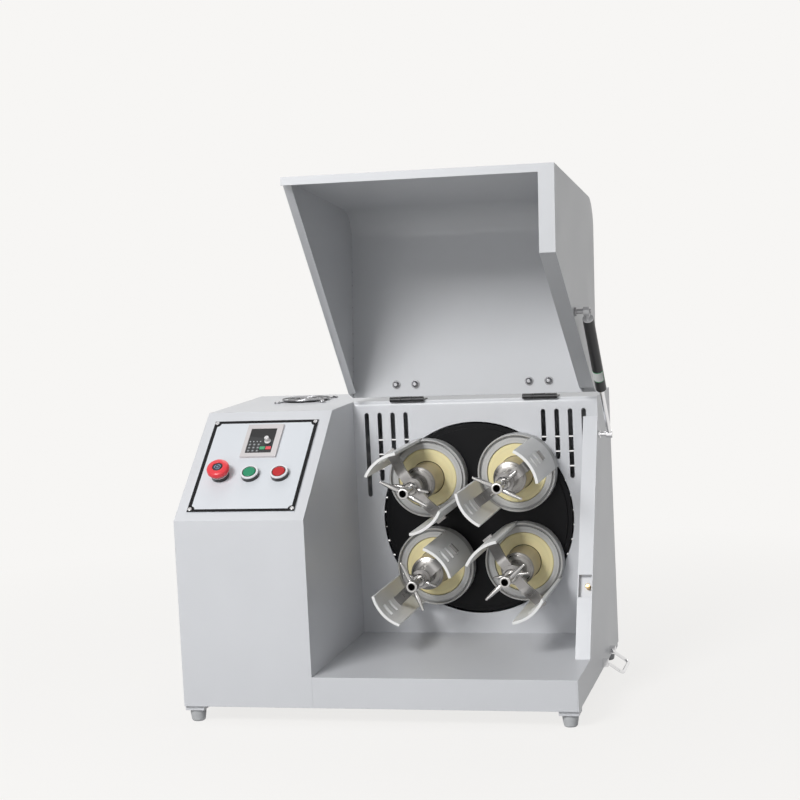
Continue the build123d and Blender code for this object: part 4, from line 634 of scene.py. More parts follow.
# The keypad's dark face and its display, and the black foot of each button's ring
KEYPAD_FACE = Zone((89.7, 148.3, -60.0), (134.7, 205.9, 4.8), (0.018, 0.019, 0.021), 0.4)
KEYPAD_DISPLAY = Zone((89.7, 204.3, -60.0), (134.7, 230.2, 4.8), (0.002, 0.002, 0.003), 0.3, tilt=0.18)
RING_FOOT = Zone((0.0, 0.0, -60.0), (220.0, 250.0, 8.8), (0.006, 0.006, 0.007), 0.4)
KEYPAD_CASE = PanelMoulding("keypad_case", (0.63, 0.6, 0.6), 0.4, zones=(KEYPAD_FACE, KEYPAD_DISPLAY))
BEZEL_RING = PanelMoulding(
    "bezel_white_ring", (0.78, 0.78, 0.8), 0.16, coat=0.5, depth=0.004, zones=(RING_FOOT,))

# The strut's fitting, which has no box: it is where its end is
STRUT_FITTING = Zone(ORIGIN, ORIGIN, (0.55, 0.55, 0.56), 0.2)

# The jar stations: radius from the jar's middle and height over the disc's face
HOLDER_GROOVE = Zone((60.9, 5.0, -1.0), (64.6, 23.5, 1.0), (0.5, 0.5, 0.5), 0.6)
# The holder's ears are the same cast metal as the rest of the holder, painted much lighter: painted light
# that makes them look brightly lit.
HOLDER_EARS_PAINTED_LIGHT = Zone((40.0, 34.0, -1.0), (90.0, 230.0, 1.0), (0.82, 0.82, 0.81), 0.42)
# The jar's raised neck is the same cream nylon, painted a darker tan: painted shade on the neck's side.
JAR_NECK_PAINTED_SHADE = Zone((-1.0, 20.4, -1.0), (29.5, 90.0, 1.0), (0.54, 0.45, 0.27), 0.45)
# A near-black ring on the cream where the neck leaves the lid: painted shadow in the gap between them.
JAR_GAP_PAINTED_SHADOW = Zone((28.2, 18.0, -1.0), (30.0, 20.6, 1.0), (0.08, 0.07, 0.05), 0.6)
# The hollow inside the lever's hub is painted black: painted shade in the recess.
LEVER_HOLLOW_PAINTED_SHADE = Zone((-1.0, 191.0, -1.0), (5.9, 206.7, 1.0), (0.004, 0.004, 0.004), 0.6)


# Mesh work


def crisp_edges() -> Tree:
    """Builds the modifier that joins split corners and shades each edge by its own angle.

    Returns:
        The modifier's node tree.
    """
    name = "crisp_edges"
    tree = bpy.data.node_groups.get(name)
    if tree:
        return tree
    tree = bpy.data.node_groups.new(name, "GeometryNodeTree")
    for way in ("INPUT", "OUTPUT"):
        tree.interface.new_socket("Geometry", in_out=way, socket_type="NodeSocketGeometry")
    graph = Graph(tree)
    start = graph.add("NodeGroupInput").outputs[0]
    joined = graph.add("GeometryNodeMergeByDistance", {"Geometry": start, "Distance": NEAR}).outputs[0]
    faces = {"Geometry": joined, "Shade Smooth": True}
    smooth = graph.add("GeometryNodeSetShadeSmooth", faces, domain="FACE").outputs[0]
    angle = graph.add("GeometryNodeInputMeshEdgeAngle").outputs["Unsigned Angle"]
    sharp = graph.add("FunctionNodeCompare", {0: angle, 1: CREASE}, operation="GREATER_THAN").outputs[0]
    edges = {"Geometry": smooth, "Selection": sharp, "Shade Smooth": False}
    split = graph.add("GeometryNodeSetShadeSmooth", edges, domain="EDGE").outputs[0]
    graph.add("NodeGroupOutput", {0: split})
    return tree


def soften_edges(item: Item, width: float) -> None:
    """Gives a piece joined corners and a small round on every sharp edge.

    Args:
        item: the piece.
        width: width of the round in millimetres, 0 for none.
    """
    normals = item.data.attributes.get("custom_normal")
    if normals:
        item.data.attributes.remove(normals)
    clean = item.modifiers.new("crisp", "NODES")
    clean.node_group = crisp_edges()
    if width > 0:
        flat = item.modifiers.new("flat_faces", "DECIMATE")
        flat.decimate_type = "DISSOLVE"
        flat.angle_limit = FLAT
        bevel = item.modifiers.new("rounded", "BEVEL")
        bevel.width = width * MM
        bevel.segments = 2
        bevel.limit_method = "ANGLE"
        bevel.angle_limit = CREASE
        bevel.harden_normals = True


def dress(node: str, finish: Finish, edge: float = 0.3) -> None:
    """Gives a CAD node its finish and soft edges.

    Args:
        node: the node's name.
        finish: its finish.
        edge: width of its rounded edges in millimetres.
    """
    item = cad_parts[node]
    if not item.material_slots:
        item.data.materials.append(None)
    for material_slot in item.material_slots:
        material_slot.material = finish.material()
    soften_edges(item, edge)
    log.info("dressed %s in %s", node, finish.name)


def full_turn(steps: int) -> list[float]:
    """Gives the angles of the corners round a circle."""
    return [2 * pi * step / steps for step in range(steps)]


def corner(work: Work, place: Matrix, x: float, y: float, z: float) -> bmesh.types.BMVert:
    """Adds one corner, told in millimetres along a place's X, Y and Z."""
    return work.verts.new(place @ (Vector((x, y, z)) * MM))


def face(work: Work, corners: Sequence[bmesh.types.BMVert]) -> None:
    """Adds a face, without the corners that it names twice, if three or more are left.

    Args:
        work: the mesh that it goes into.
        corners: its corners in order.
    """
    single = list(dict.fromkeys(corners))
    if len(single) > 2:
        work.faces.new(single)


def walls(work: Work, rings: Sequence[Ring]) -> None:
    """Joins each ring of corners to the next with a band of faces.

    Args:
        work: the mesh that they go into.
        rings: the rings, all of one length.
    """
    for below, above in zip(rings, rings[1:]):
        for step, (low, high) in enumerate(zip(below, above)):
            after = (step + 1) % len(below)
            work.faces.new([low, below[after], above[after], high])


def lathe(work: Work, profile: Profile, place: Matrix, steps: int = 40) -> None:
    """Turns a profile round the place's own Z.

    Args:
        work: the mesh that it goes into.
        profile: radius and height of each point, in millimetres.
        place: where it stands, in metres.
        steps: corners round it.
    """
    rings = []
    for radius, height in profile:
        turns = full_turn(steps) if radius > 1e-6 else [0.0]
        rings.append([corner(work, place, radius * cos(t), radius * sin(t), height) for t in turns])
    for low, high in zip(rings, rings[1:]):
        for step in range(steps):
            after = (step + 1) % steps
            below, above = ([ring[turn % len(ring)] for turn in (step, after)] for ring in (low, high))
            face(work, [*below, *reversed(above)])


def threaded(work: Work, radius: float, depth: float, pitch: float, ends: Pair, place: Matrix) -> None:
    """Cuts a screw thread as a wall whose radius follows one helix.

    Args:
        work: the mesh that it goes into.
        radius: outer radius in millimetres.
        depth: depth of the thread.
        pitch: rise of one turn.
        ends: lower and upper end.
        place: where it stands, in metres.
    """
    steps, rows_in_turn = 24, 5
    low, high = ends
    rows = int((high - low) / pitch * rows_in_turn)
    rings = []
    for row in range(rows + 1):
        height = low + (high - low) * row / rows
        ring = []
        for step, turn in enumerate(full_turn(steps)):
            share = (height / pitch - step / steps) % 1.0
            out = radius - depth * (1 - abs(2 * share - 1))
            ring.append(corner(work, place, out * cos(turn), out * sin(turn), height))
        rings.append(ring)
    walls(work, rings)


def tube(work: Work, path: Sequence[Vector], radius: float, closed: bool, steps: int = 10) -> None:
    """Draws a round wire along points.

    Args:
        work: the mesh that it goes into.
        path: the wire's middle line, in metres.
        radius: the wire's radius in millimetres.
        closed: whether the last point joins the first.
        steps: corners round the wire.
    """
    rings = []
    count = len(path)
    for index, point in enumerate(path):
        before = path[(index - 1) % count] if closed or index else point
        after = path[(index + 1) % count] if closed or index < count - 1 else point
        along = (after - before).normalized()
        side = along.orthogonal() if abs(along.z) > 0.95 else along.cross(Vector((0, 0, 1)))
        side.normalize()
        up = side.cross(along)
        turns = full_turn(steps)
        rings.append([work.verts.new(point + (side * cos(t) + up * sin(t)) * radius * MM) for t in turns])
    if closed:
        walls(work, [*rings, rings[0]])
        return
    walls(work, rings)
    work.faces.new(list(reversed(rings[0])))
    work.faces.new(rings[-1])


def plate(work: Work, outline: Profile, heights: Pair, place: Matrix) -> None:
    """Raises a flat outline between two heights.

    Args:
        work: the mesh that it goes into.
        outline: its corners in millimetres, in order.
        heights: lower and upper height.
        place: where it lies, in metres.
    """
    below, above = ([corner(work, place, x, y, height) for x, y in outline] for height in heights)
    work.faces.new(list(reversed(below)))
    work.faces.new(above)
    walls(work, [below, above])


def ribbon(work: Work, outer: Profile, inner: Profile, heights: Pair, place: Matrix) -> None:
    """Raises the closed band between two outlines whose points go together in pairs.

    Args:
        work: the mesh that it goes into.
        outer: points of the outer outline, where neighbours may be the same point.
        inner: points of the inner outline, as many.
        heights: lower and upper height.
        place: where it lies, in metres.
    """
    known: dict[Point, bmesh.types.BMVert] = {}

    def shared(point: Pair, height: float) -> bmesh.types.BMVert:
        """Gives the corner at a point, made once.

        Args:
            point: the point of the outline.
            height: its height.

        Returns:
            The corner.
        """
        key = (*point, height)
        if key not in known:
            known[key] = corner(work, place, *key)
        return known[key]

    low, high = heights
    count = len(outer)
    for index in range(count):
        after = (index + 1) % count
        a, b, c, d = outer[index], outer[after], inner[after], inner[index]
        quads = [[(a, high), (b, high), (c, high), (d, high)], [(d, low), (c, low), (b, low), (a, low)],
                 [(a, low), (b, low), (b, high), (a, high)], [(d, high), (c, high), (c, low), (d, low)]]
        for quad in quads:
            face(work, [shared(point, height) for point, height in quad])


def linked(name: str, data: bpy.types.ID) -> Item:
    """Puts an object with the given data into the scene.

    Args:
        name: the object's name.
        data: its mesh, lamp or camera.

    Returns:
        The new object.
    """
    item = bpy.data.objects.new(name, data)
    bpy.context.scene.collection.objects.link(item)
    return item


def placed(name: str, work: Work, material: bpy.types.Material) -> Item:
    """Turns mesh work into an object of the scene.

    Args:
        name: the object's name.
        work: its mesh work, which is used up.
        material: its material.

    Returns:
        The new object.
    """
    mesh = bpy.data.meshes.new(name)
    work.to_mesh(mesh)
    work.free()
    mesh.materials.append(material)
    return linked(name, mesh)


def finished(name: str, work: Work, finish: Finish, body: str) -> Item:
    """Turns mesh work into a piece that rides on its body.

    Args:
        name: the piece's name.
        work: its mesh work, which is used up.
        finish: its finish.
        body: the body that carries it.

    Returns:
        The new piece.
    """
    bmesh.ops.recalc_face_normals(work, faces=work.faces)
    item = placed(name, work, finish.material())
    soften_edges(item, 0.0)
    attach(item, body)
    log.info("built %s on %s", name, body)
    return item


# The machine


@dataclass
class Cabinet:
    """Sheet metal body, its feet, louvred back and hinges' fixed halves."""

    sheets: tuple[str, ...] = ("console_shell", "base_tray", "right_wall", "vent_panel", "rear_cover")

    def dress(self) -> None:
        """Dresses the sheet metal and what is screwed to it."""
        for node in self.sheets:
            dress(node, CABINET_PAINT, 0.4)
        dress("rubber_feet", FOOT_MOULDING, 0.5)
        dress("power_inlet", BLACK_PLASTIC)
        dress("hinge_deck_leaves", BLACK_STEEL, 0.25)
        dress("body_hardware", PLATING, 0.2)


@dataclass
class Lid:
    """The lid that stands open, with the marks of its welded corner."""

    hinge_y: float = 331.0
    hinge_z: float = 490.3
    open_angle: float = 98.0
    joint_x: float = 223.5
    top_z: float = 486.0
    corner: float = 50.0
    corner_y: float = 52.0
    spots: int = 14
    spot_pitch: float = 21.7
    first_spot: float = 300.0
    spot_stray: float = 2.5
    spot_sizes: Pair = (0.9, 1.5)
    seed: int = 11

    def opened(self, x: float, y: float, z: float) -> Vector:
        """Gives the place of a point of the closed lid once the lid stands open.

        Args:
            x: millimetres from the cabinet's left side.
            y: millimetres behind the closed lid's front.
            z: millimetres above the floor.

        Returns:
            The point in the frame.
        """
        turn = radians(-self.open_angle)
        back, rise = y - self.hinge_y, z - self.hinge_z
        return at(x, self.hinge_y + back * cos(turn) - rise * sin(turn),
                  self.hinge_z + back * sin(turn) + rise * cos(turn))

    def weld_spots(self) -> None:
        """Sets small weld beads along the inner joint of the left side, round its bend too."""
        work = bmesh.new()
        draw = random.Random(self.seed)
        for index in range(self.spots):
            y = self.first_spot - self.spot_pitch * index + draw.uniform(-self.spot_stray, self.spot_stray)
            z = self.top_z
            if y < self.corner_y:
                turn = (self.corner_y - y) / self.corner
                y = self.corner_y - self.corner * sin(turn)
                z = self.top_z - self.corner + self.corner * cos(turn)
            place = Matrix.Translation(self.opened(self.joint_x, y, z))
            size = draw.uniform(*self.spot_sizes)
            bmesh.ops.create_icosphere(work, subdivisions=2, radius=size * MM, matrix=place)
        finished("weld_spots", work, WELD_METAL, Body.LID.value)

    def dress(self) -> None:
        """Dresses the lid, its leaves, nuts and stud."""
        # The shell's coat is the cabinet's paint made darker: painted shade.
        dress("lid_shell", LID_PAINT_PAINTED_SHADE, 0.4)
        dress("hinge_lid_leaves", BLACK_STEEL, 0.25)
        dress("lid_fasteners", DULL_PLATING)
        self.weld_spots()


@dataclass
class GasStrut:
    """The strut that holds the lid up, with a bare label on its cylinder."""

    across: float = 669.0
    lid_pivot: Pair = (209.0, 258.0)
    low_pivot: Pair = (333.0, 423.0)
    radius: float = 9.0
    label_start: float = 140.0
    label_length: float = 23.5
    label_margin: float = 1.6
    label_turns: Pair = (20.0, 205.0)
    edge_proud: float = 0.12
    label_proud: float = 0.2

    def upper(self) -> Vector:
        """Gives the lid's pivot once the lid stands open."""
        return Lid().opened(self.across, *self.lid_pivot)

    def place(self) -> Matrix:
        """Gives the cylinder's own place: Z runs from the lid's pivot down to the cabinet's.

        Returns:
            The place.
        """
        upper = self.upper()
        along = (at(self.across, *self.low_pivot) - upper).normalized()
        return stand(upper, X_AXIS, along.cross(X_AXIS), along)

    def wrap(self, name: str, finish: Finish, margin: float, proud: float) -> None:
        """Lays a thin sheet round the cylinder's front.

        Args:
            name: the piece's name.
            finish: its finish.
            margin: how far its edges stay inside the label's, in millimetres.
            proud: how far it stands off the cylinder.
        """
        work = bmesh.new()
        place = self.place()
        steps = 28
        swing = margin / self.radius
        low, high = self.label_start + margin, self.label_start + self.label_length - margin
        inner, outer = self.radius, self.radius + proud
        first, last = radians(self.label_turns[0]) + swing, radians(self.label_turns[1]) - swing
        rings = []
        for step in range(steps + 1):
            turn = first + (last - first) * step / steps
            section = ((inner, low), (inner, high), (outer, high), (outer, low))
            rings.append([corner(work, place, r * cos(turn), r * sin(turn), z) for r, z in section])
        walls(work, rings)
        work.faces.new(rings[0])
        work.faces.new(list(reversed(rings[-1])))
        finished(name, work, finish, Body.STRUT.value)

    def dress(self) -> None:
        """Dresses cylinder and rod and sticks the bare label on."""
        end = tuple(self.upper())
        coat = EndFitted("strut_black_coat", BLACK_STEEL.colour, 0.38, metallic=0.2, end=end,
                         zones=(STRUT_FITTING,))
        dress("strut_cylinder", coat, 0.4)
        dress("strut_rod", CHROME_ROD, 0.2)
        self.wrap("strut_label_edge", LABEL_GREEN, 0.0, self.edge_proud)
        self.wrap("strut_label", LABEL_WHITE, self.label_margin, self.label_proud)


@dataclass
class ControlPanel:
    """The bordered plate on the slope, with keypad, buttons and emergency stop."""

    bend_z: float = 334.0
    top_z: float = 488.0
    top_start: float = 200.0
    left: float = 18.5
    right: float = 202.0
    low: float = 17.5
    high: float = 229.5
    thickness: float = 1.5
    edge_inset: float = 0.3
    line: float = 6.2
    line_proud: float = 0.08
    screw_x: float = 4.7
    screw_y: float = 5.7
    patch: float = 7.6
    face: float = 4.5
    keys_at: Pair = (94.5, 153.6)
    key_pitch: Pair = (7.6, 7.2)
    key_profile: Profile = ((0, -0.4), (2.5, -0.4), (2.5, 0.4), (2.1, 0.8), (0, 0.8))
    key_top: float = 0.8
    mark_profile: Profile = ((0, -0.2), (0.9, -0.2), (0.9, 0.05), (0, 0.05))
    lamps_at: Pair = (93.5, 175.5)
    lamp_pitch: float = 6.0
    lamp_profile: Profile = ((0, -0.4), (1.2, -0.4), (1.2, 0.2), (0.7, 0.5), (0, 0.6))
    button_row: float = 99.0
    buttons: Pair = (109.8, 160.5)
    seal_profile: Profile = ((10.95, 10.6), (12.0, 11.02), (11.9, 11.12), (11.0, 11.16), (10.95, 10.6))
    estop: float = 58.3
    dish: float = 23.0
    insert_profile: Profile = (
        (0, -0.4), (8.6, -0.4), (8.6, 0.5), (8.1, 0.9), (6.9, 0.9), (6.5, 0.5), (0, 0.5))
    arrow_turns: Pair = (78.0, 104.0)
    arrow_band: Pair = (3.9, 5.9)
    arrow_head: Pair = (3.2, 6.4)
    arrow_tip: float = 4.9
    arrow_hub: float = 2.0
    arrow_heights: Pair = (0.4, 0.62)

    def place(self) -> Matrix:
        """Gives the slope's own place: X across, Y up the slope and Z out of it."""
        along = Vector((0, self.top_start, self.top_z - self.bend_z)).normalized()
        return stand(at(0, 0, self.bend_z), X_AXIS, along, X_AXIS.cross(along))

    def standing(self, x: float, up: float, out: float = 0.0) -> Matrix:
        """Gives a place that stands on the slope at x across, up it and out of it."""
        return self.place() @ moved(x, up, out)

    def border(self) -> None:
        """Prints the plate's black border line, with a round patch under each corner screw."""
        x0, x1 = self.left + self.edge_inset, self.right - self.edge_inset
        y0, y1 = self.low + self.edge_inset, self.high - self.edge_inset
        outer, inner = [], []
        steps = 10
        corners = ((x0, y0, 1, 1), (x1, y0, -1, 1), (x1, y1, -1, -1), (x0, y1, 1, -1))
        for x, y, right, up in corners:
            screw = Vector((x + right * self.screw_x, y + up * self.screw_y))
            side = self.line - self.screw_x
            foot = self.line - self.screw_y
            first = atan2(foot, sqrt(self.patch ** 2 - foot ** 2))
            last = atan2(sqrt(self.patch ** 2 - side ** 2), side)
            run = [first + (last - first) * step / steps for step in range(steps + 1)]
            if right * up > 0:
                run.reverse()
            for turn in run:
                outer.append((x, y))
                inner.append((screw.x + right * self.patch * cos(turn),
                              screw.y + up * self.patch * sin(turn)))
        work = bmesh.new()
        ribbon(work, outer, inner, (self.thickness, self.thickness + self.line_proud), self.place())
        finished("plate_border", work, PLATE_LINE, Body.CABINET.value)

    def keys(self) -> None:
        """Sets the keypad's small round keys, each with its mark, and the row of lamps above them."""
        caps, lights = bmesh.new(), bmesh.new()
        for column in range(4):
            place = self.standing(self.lamps_at[0] + self.lamp_pitch * column, self.lamps_at[1], self.face)
            lathe(lights, self.lamp_profile, place, steps=16)
        for row in range(3):
            up = self.keys_at[1] + self.key_pitch[1] * row
            for column in range(3):
                x = self.keys_at[0] + self.key_pitch[0] * column
                lathe(caps, self.key_profile, self.standing(x, up, self.face), steps=24)
                lathe(lights, self.mark_profile, self.standing(x, up, self.face + self.key_top), steps=12)
        finished("keypad_keys", caps, KEYPAD_KEY, Body.CABINET.value)
        finished("keypad_lamps", lights, KEYPAD_LAMP, Body.CABINET.value)

    def seals(self) -> None:
        """Lays the black seal between each button's ring and its cap."""
        work = bmesh.new()
        for x in self.buttons:
            lathe(work, self.seal_profile, self.standing(x, self.button_row), steps=48)
        finished("button_seals", work, SEAL_RUBBER, Body.CABINET.value)

    def arrow(self) -> list[Pair]:
        """Gives the outline of one turning arrow: its outer curve, its head and its inner curve.

        Returns:
            The outline's points in millimetres.
        """
        steps = 8
        bend, tip = (radians(turn) for turn in self.arrow_turns)
        band = [bend * step / steps for step in range(steps + 1)]
        run = [(self.arrow_band[1], turn) for turn in band]
        run += [(self.arrow_head[1], bend), (self.arrow_tip, tip), (self.arrow_head[0], bend)]
        run += [(self.arrow_band[0], turn) for turn in reversed(band)]
        return [(radius * cos(turn), radius * sin(turn)) for radius, turn in run]

    def insert(self) -> None:
        """Sets the emergency stop's black insert with three plain turning arrows."""
        place = self.standing(self.estop, self.button_row, self.dish)
        work = bmesh.new()
        lathe(work, self.insert_profile, place, steps=48)
        finished("estop_insert", work, INSERT_BLACK, Body.ESTOP.value)
        work = bmesh.new()
        for turn in full_turn(3):
            plate(work, self.arrow(), self.arrow_heights, place @ Matrix.Rotation(turn, 4, "Z"))
        low, high = self.arrow_heights
        lathe(work, [(0, low), (self.arrow_hub, low), (self.arrow_hub, high), (0, high)], place, steps=24)
        finished("estop_arrows", work, INSERT_BLUE, Body.ESTOP.value)

    def dress(self) -> None:
        """Dresses plate, keypad and buttons."""
        dress("control_plate", PLATE_PAINT)
        dress("keypad", KEYPAD_CASE, 0.4)
        dress("button_bezels", BEZEL_RING, 0.4)
        dress("estop_head", SIGNAL_RED, 0.5)
        dress("start_cap", LENS_GREEN)
        dress("stop_cap", LENS_RED)
        dress("speed_knob", KNOB_WHITE)
        dress("green_key", KEY_GREEN, 0.4)
        dress("red_key", KEY_RED, 0.4)
        self.border()
        self.keys()
        self.seals()
        self.insert()


@dataclass
class Fan:
    """The fan on the console's top."""

    centre_x: float = 120.0
    centre_y: float = 385.0
    deck: float = 488.0
    wire: float = 1.2
    rings: tuple[float, ...] = (42.8, 31.8, 20.8, 9.8)
    screw_reach: float = 58.3
    loop: float = 4.9
    loop_turns: Pair = (200.0, -100.0)
    ring_steps: int = 56

    def guard(self) -> None:
        """Bends the wire guard: four rings on two crossed wires, which end in loops round the screws."""
        work = bmesh.new()
        x, y = self.centre_x, self.centre_y
        for radius in self.rings:
            height = self.deck + 3 * self.wire
            path = [at(x + radius * cos(t), y + radius * sin(t), height) for t in full_turn(self.ring_steps)]
            tube(work, path, self.wire, closed=True)
        middle = Vector((x, y, self.deck + self.wire))
        steps = 14
        first, last = self.loop_turns
        loop = [radians(first + (last - first) * step / steps) for step in range(steps + 1)]
        for turn in (pi / 4, 3 * pi / 4):
            along = Vector((cos(turn), sin(turn), 0.0))
            aside = Vector((-sin(turn), cos(turn), 0.0))
            end = [along * (self.screw_reach + self.loop * cos(t)) + aside * self.loop * sin(t) for t in loop]
            path = [*(-offset for offset in reversed(end)), *end]
            tube(work, [at(*(middle + offset)) for offset in path], self.wire, closed=False)
        guard = finished("fan_wire_guard", work, DULL_PLATING, Body.CABINET.value)
        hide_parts("fan_guard")

    def dress(self) -> None:
        """Dresses guard, frame and rotor."""
        self.guard()
        dress("fan_frame", BLACK_PLASTIC)
        dress("fan_rotor", BLACK_PLASTIC, 0.2)


@dataclass
class Drive:
    """Carrier disc, shaft, gears, belt and motor."""

    def dress(self) -> None:
        """Dresses the drive train."""
        dress("carrier_disc", DISC_BLACK, 0.5)
        dress("drive_shaft", GEAR_STEEL, 0.4)
        dress("motor_pulley", GEAR_STEEL, 0.4)
        dress("sun_gear", GEAR_STEEL, 0.2)
        dress("bearing_housing", CAST_IRON, 0.6)
        dress("motor", MOTOR_PAINT, 0.4)
        dress("drive_belt", BELT_RUBBER, 0.4)


@dataclass
class JarStation:
    """One jar in its slotted holder, held down by strap, screw and lever."""

    number: int
    angle: float
    lever_angle: float
    circle: float = 110.0
    centre_x: float = 435.0
    centre_z: float = 281.0
    face_y: float = 333.0
    screw: float = 6.0
    core: float = 5.2
    thread: float = 0.75
    pitch: float = 4.0
    screw_low: float = 89.3
    thread_low: float = 106.0
    hub_low: float = 190.0
    hub_length: float = 17.0
    hub: Profile = ((5.4, 0.0), (8.4, 0.0), (9.4, 0.9), (9.4, 15.8), (8.6, 16.8), (7.4, 17.0), (6.1, 17.0),
                    (5.5, 16.3), (5.5, 3.0), (0.0, 3.0))
    arm_start: float = 7.0
    arm_reach: float = 45.0
    arm_root: float = 3.0
    arm_wide: float = 4.0
    arm_tip: float = 2.1
    arm_lean: float = 8.0

    def centre(self) -> Vector:
        """Gives the middle of the station on the disc's face.

        Returns:
            The point in the frame.
        """
        x = self.centre_x + self.circle * cos(radians(self.angle))
        z = self.centre_z + self.circle * sin(radians(self.angle))
        return at(x, self.face_y, z)

    def axis(self, turn: float) -> Matrix:
        """Gives the station's own place: X at that angle across the disc, Z out of it."""
        flat = stand(self.centre(), X_AXIS, Vector((0, 0, 1)), Vector((0, -1, 0)))
        return flat @ Matrix.Rotation(radians(turn), 4, "Z")

    def arm(self, work: Work, place: Matrix) -> None:
        """Forges one arm of the lever: a drop that swells a third of the way out and ends in a ball.

        Args:
            work: the lever's mesh work.
            place: the lever's place, with X along the arm.
        """
        length = self.arm_reach - self.arm_tip - self.arm_start
        steps, round_steps = 14, 6
        profile = [(0.0, 0.0)]
        for step in range(steps + 1):
            share = step / steps
            swell = self.arm_root + (self.arm_wide - self.arm_root) * sin(pi / 2 * min(1.0, share * 3))
            if share > 1 / 3:
                fall = (share - 1 / 3) * 1.5
                swell = self.arm_wide + (self.arm_tip - self.arm_wide) * fall ** 1.25
            profile.append((swell, length * share))
        for step in range(1, round_steps + 1):
            turn = pi / 2 * step / round_steps
            profile.append((max(0.0, self.arm_tip * cos(turn)), length + self.arm_tip * sin(turn)))
        root = place @ moved(self.arm_start, 0, self.hub_low + self.hub_length / 2)
        lathe(work, profile, root @ Matrix.Rotation(radians(90 - self.arm_lean), 4, "Y"), steps=20)

    def lever(self, finish: Finish) -> None:
        """Turns the lever screw with its thread, its hollow hub and its two arms.

        Args:
            finish: its finish.
        """
        work = bmesh.new()
        place = self.axis(self.lever_angle)
        foot = [(0, self.screw_low), (self.core, self.screw_low), (self.core, self.thread_low)]
        lathe(work, foot, place, steps=24)
        threaded(work, self.screw, self.thread, self.pitch, (self.thread_low, self.hub_low), place)
        lathe(work, [(radius, self.hub_low + rise) for radius, rise in self.hub], place)
        for turn in full_turn(2):
            self.arm(work, place @ Matrix.Rotation(turn, 4, "Z"))
        body = f"lever_screw_{self.number}"
        screw = finished(f"lever_{self.number}", work, finish, body)
        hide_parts(body)

    def dress(self) -> None:
        """Dresses holder, jar and clamp with turning marks round their own centre."""
        centre = tuple(self.centre())
        number = self.number
        # The holder's ears carry painted light.
        holder = TurnedMetal(f"satin_aluminium_{number}", (0.5, 0.5, 0.495), 0.45, metallic=0.15,
                             centre=centre, depth=0.006, zones=(HOLDER_GROOVE, HOLDER_EARS_PAINTED_LIGHT))
        # The jar's neck and the ring at its foot carry painted shade and painted shadow.
        nylon = TurnedNylon(f"cream_nylon_{number}", (0.88, 0.79, 0.46), 0.4, centre=centre, depth=0.015,
                            zones=(JAR_NECK_PAINTED_SHADE, JAR_GAP_PAINTED_SHADOW))
        turned = TurnedMetal(f"pressure_steel_{number}", (0.27, 0.26, 0.25), 0.3, centre=centre, pitch=0.7,
                             depth=0.03)
        # The lever's hollow hub carries painted shade.
        lever = TurnedMetal(f"lever_steel_{number}", (0.55, 0.54, 0.53), 0.16, centre=centre, pitch=4.0,
                            zones=(LEVER_HOLLOW_PAINTED_SHADE,))
        dress(f"holder_{number}", holder, 0.7)
        dress(f"jar_{number}", nylon, 0.4)
        dress(f"pressure_disc_{number}", turned, 0.4)
        dress(f"clamp_bar_{number}", CLAMP_STEEL, 0.6)
        dress(f"lock_nut_{number}", NUT_STEEL, 0.4)
        self.lever(lever)


@dataclass
class SideFittings:
    """Carrying bails and the lid switch's plunger."""

    def dress(self) -> None:
        """Dresses bails and plunger."""
        dress("bail_right", PLATING, 0.0)
        dress("bail_left", PLATING, 0.0)
        dress("interlock_plunger", BRASS)


# The studio


def turned_to(place: Point, aim: Point, axis: str) -> Euler:
    """Gives the turn that points an object's axis from its place to its aim."""
    return (Vector(aim) - Vector(place)).to_track_quat(axis, "Y").to_euler()


def board(name: str, width: float, height: float, heights: Pair, material: bpy.types.Material) -> Item:
    """Makes a flat rectangle round its own middle.

    Args:
        name: its name.
        width: half its width in millimetres.
        height: half its height.
        heights: its lower and upper face.
        material: its material.

    Returns:
        The new object.
    """
    work = bmesh.new()
    outline = [(-width, -height), (width, -height), (width, height), (-width, height)]
    plate(work, outline, heights, Matrix())
    return placed(name, work, material)


@dataclass(frozen=True)
class Lamp:
    """A soft lamp: where it hangs, what it points at and its size in metres, and its power in watts."""

    name: str
    place: Point
    aim: Point
    size: Pair
    power: float

    def hang(self) -> None:
        """Hangs the lamp in the scene."""
        data = bpy.data.lights.new(self.name, "AREA")
        data.shape = "RECTANGLE"
        data.size, data.size_y = self.size
        data.energy = self.power
        lamp = linked(self.name, data)
        lamp.location = self.place
        lamp.rotation_euler = turned_to(self.place, self.aim, "-Z")


@dataclass(frozen=True)
class Flag:
    """A black card that only mirror-like surfaces show, so that metal has dark streaks. In metres."""

    name: str
    place: Point
    size: Pair
    half_thickness: float = 0.002

    def raise_card(self) -> None:
        """Stands the card upright, turned to the machine."""
        width, height = (size / MM / 2 for size in self.size)
        thick = self.half_thickness / MM
        card = board(self.name, width, height, (-thick, thick), PLATE_LINE.material())
        card.location = self.place
        card.rotation_euler = turned_to(self.place, (0.0, 0.0, self.place[2]), "Z")
        for ray in ("camera", "diffuse", "shadow", "transmission"):
            setattr(card, f"visible_{ray}", False)


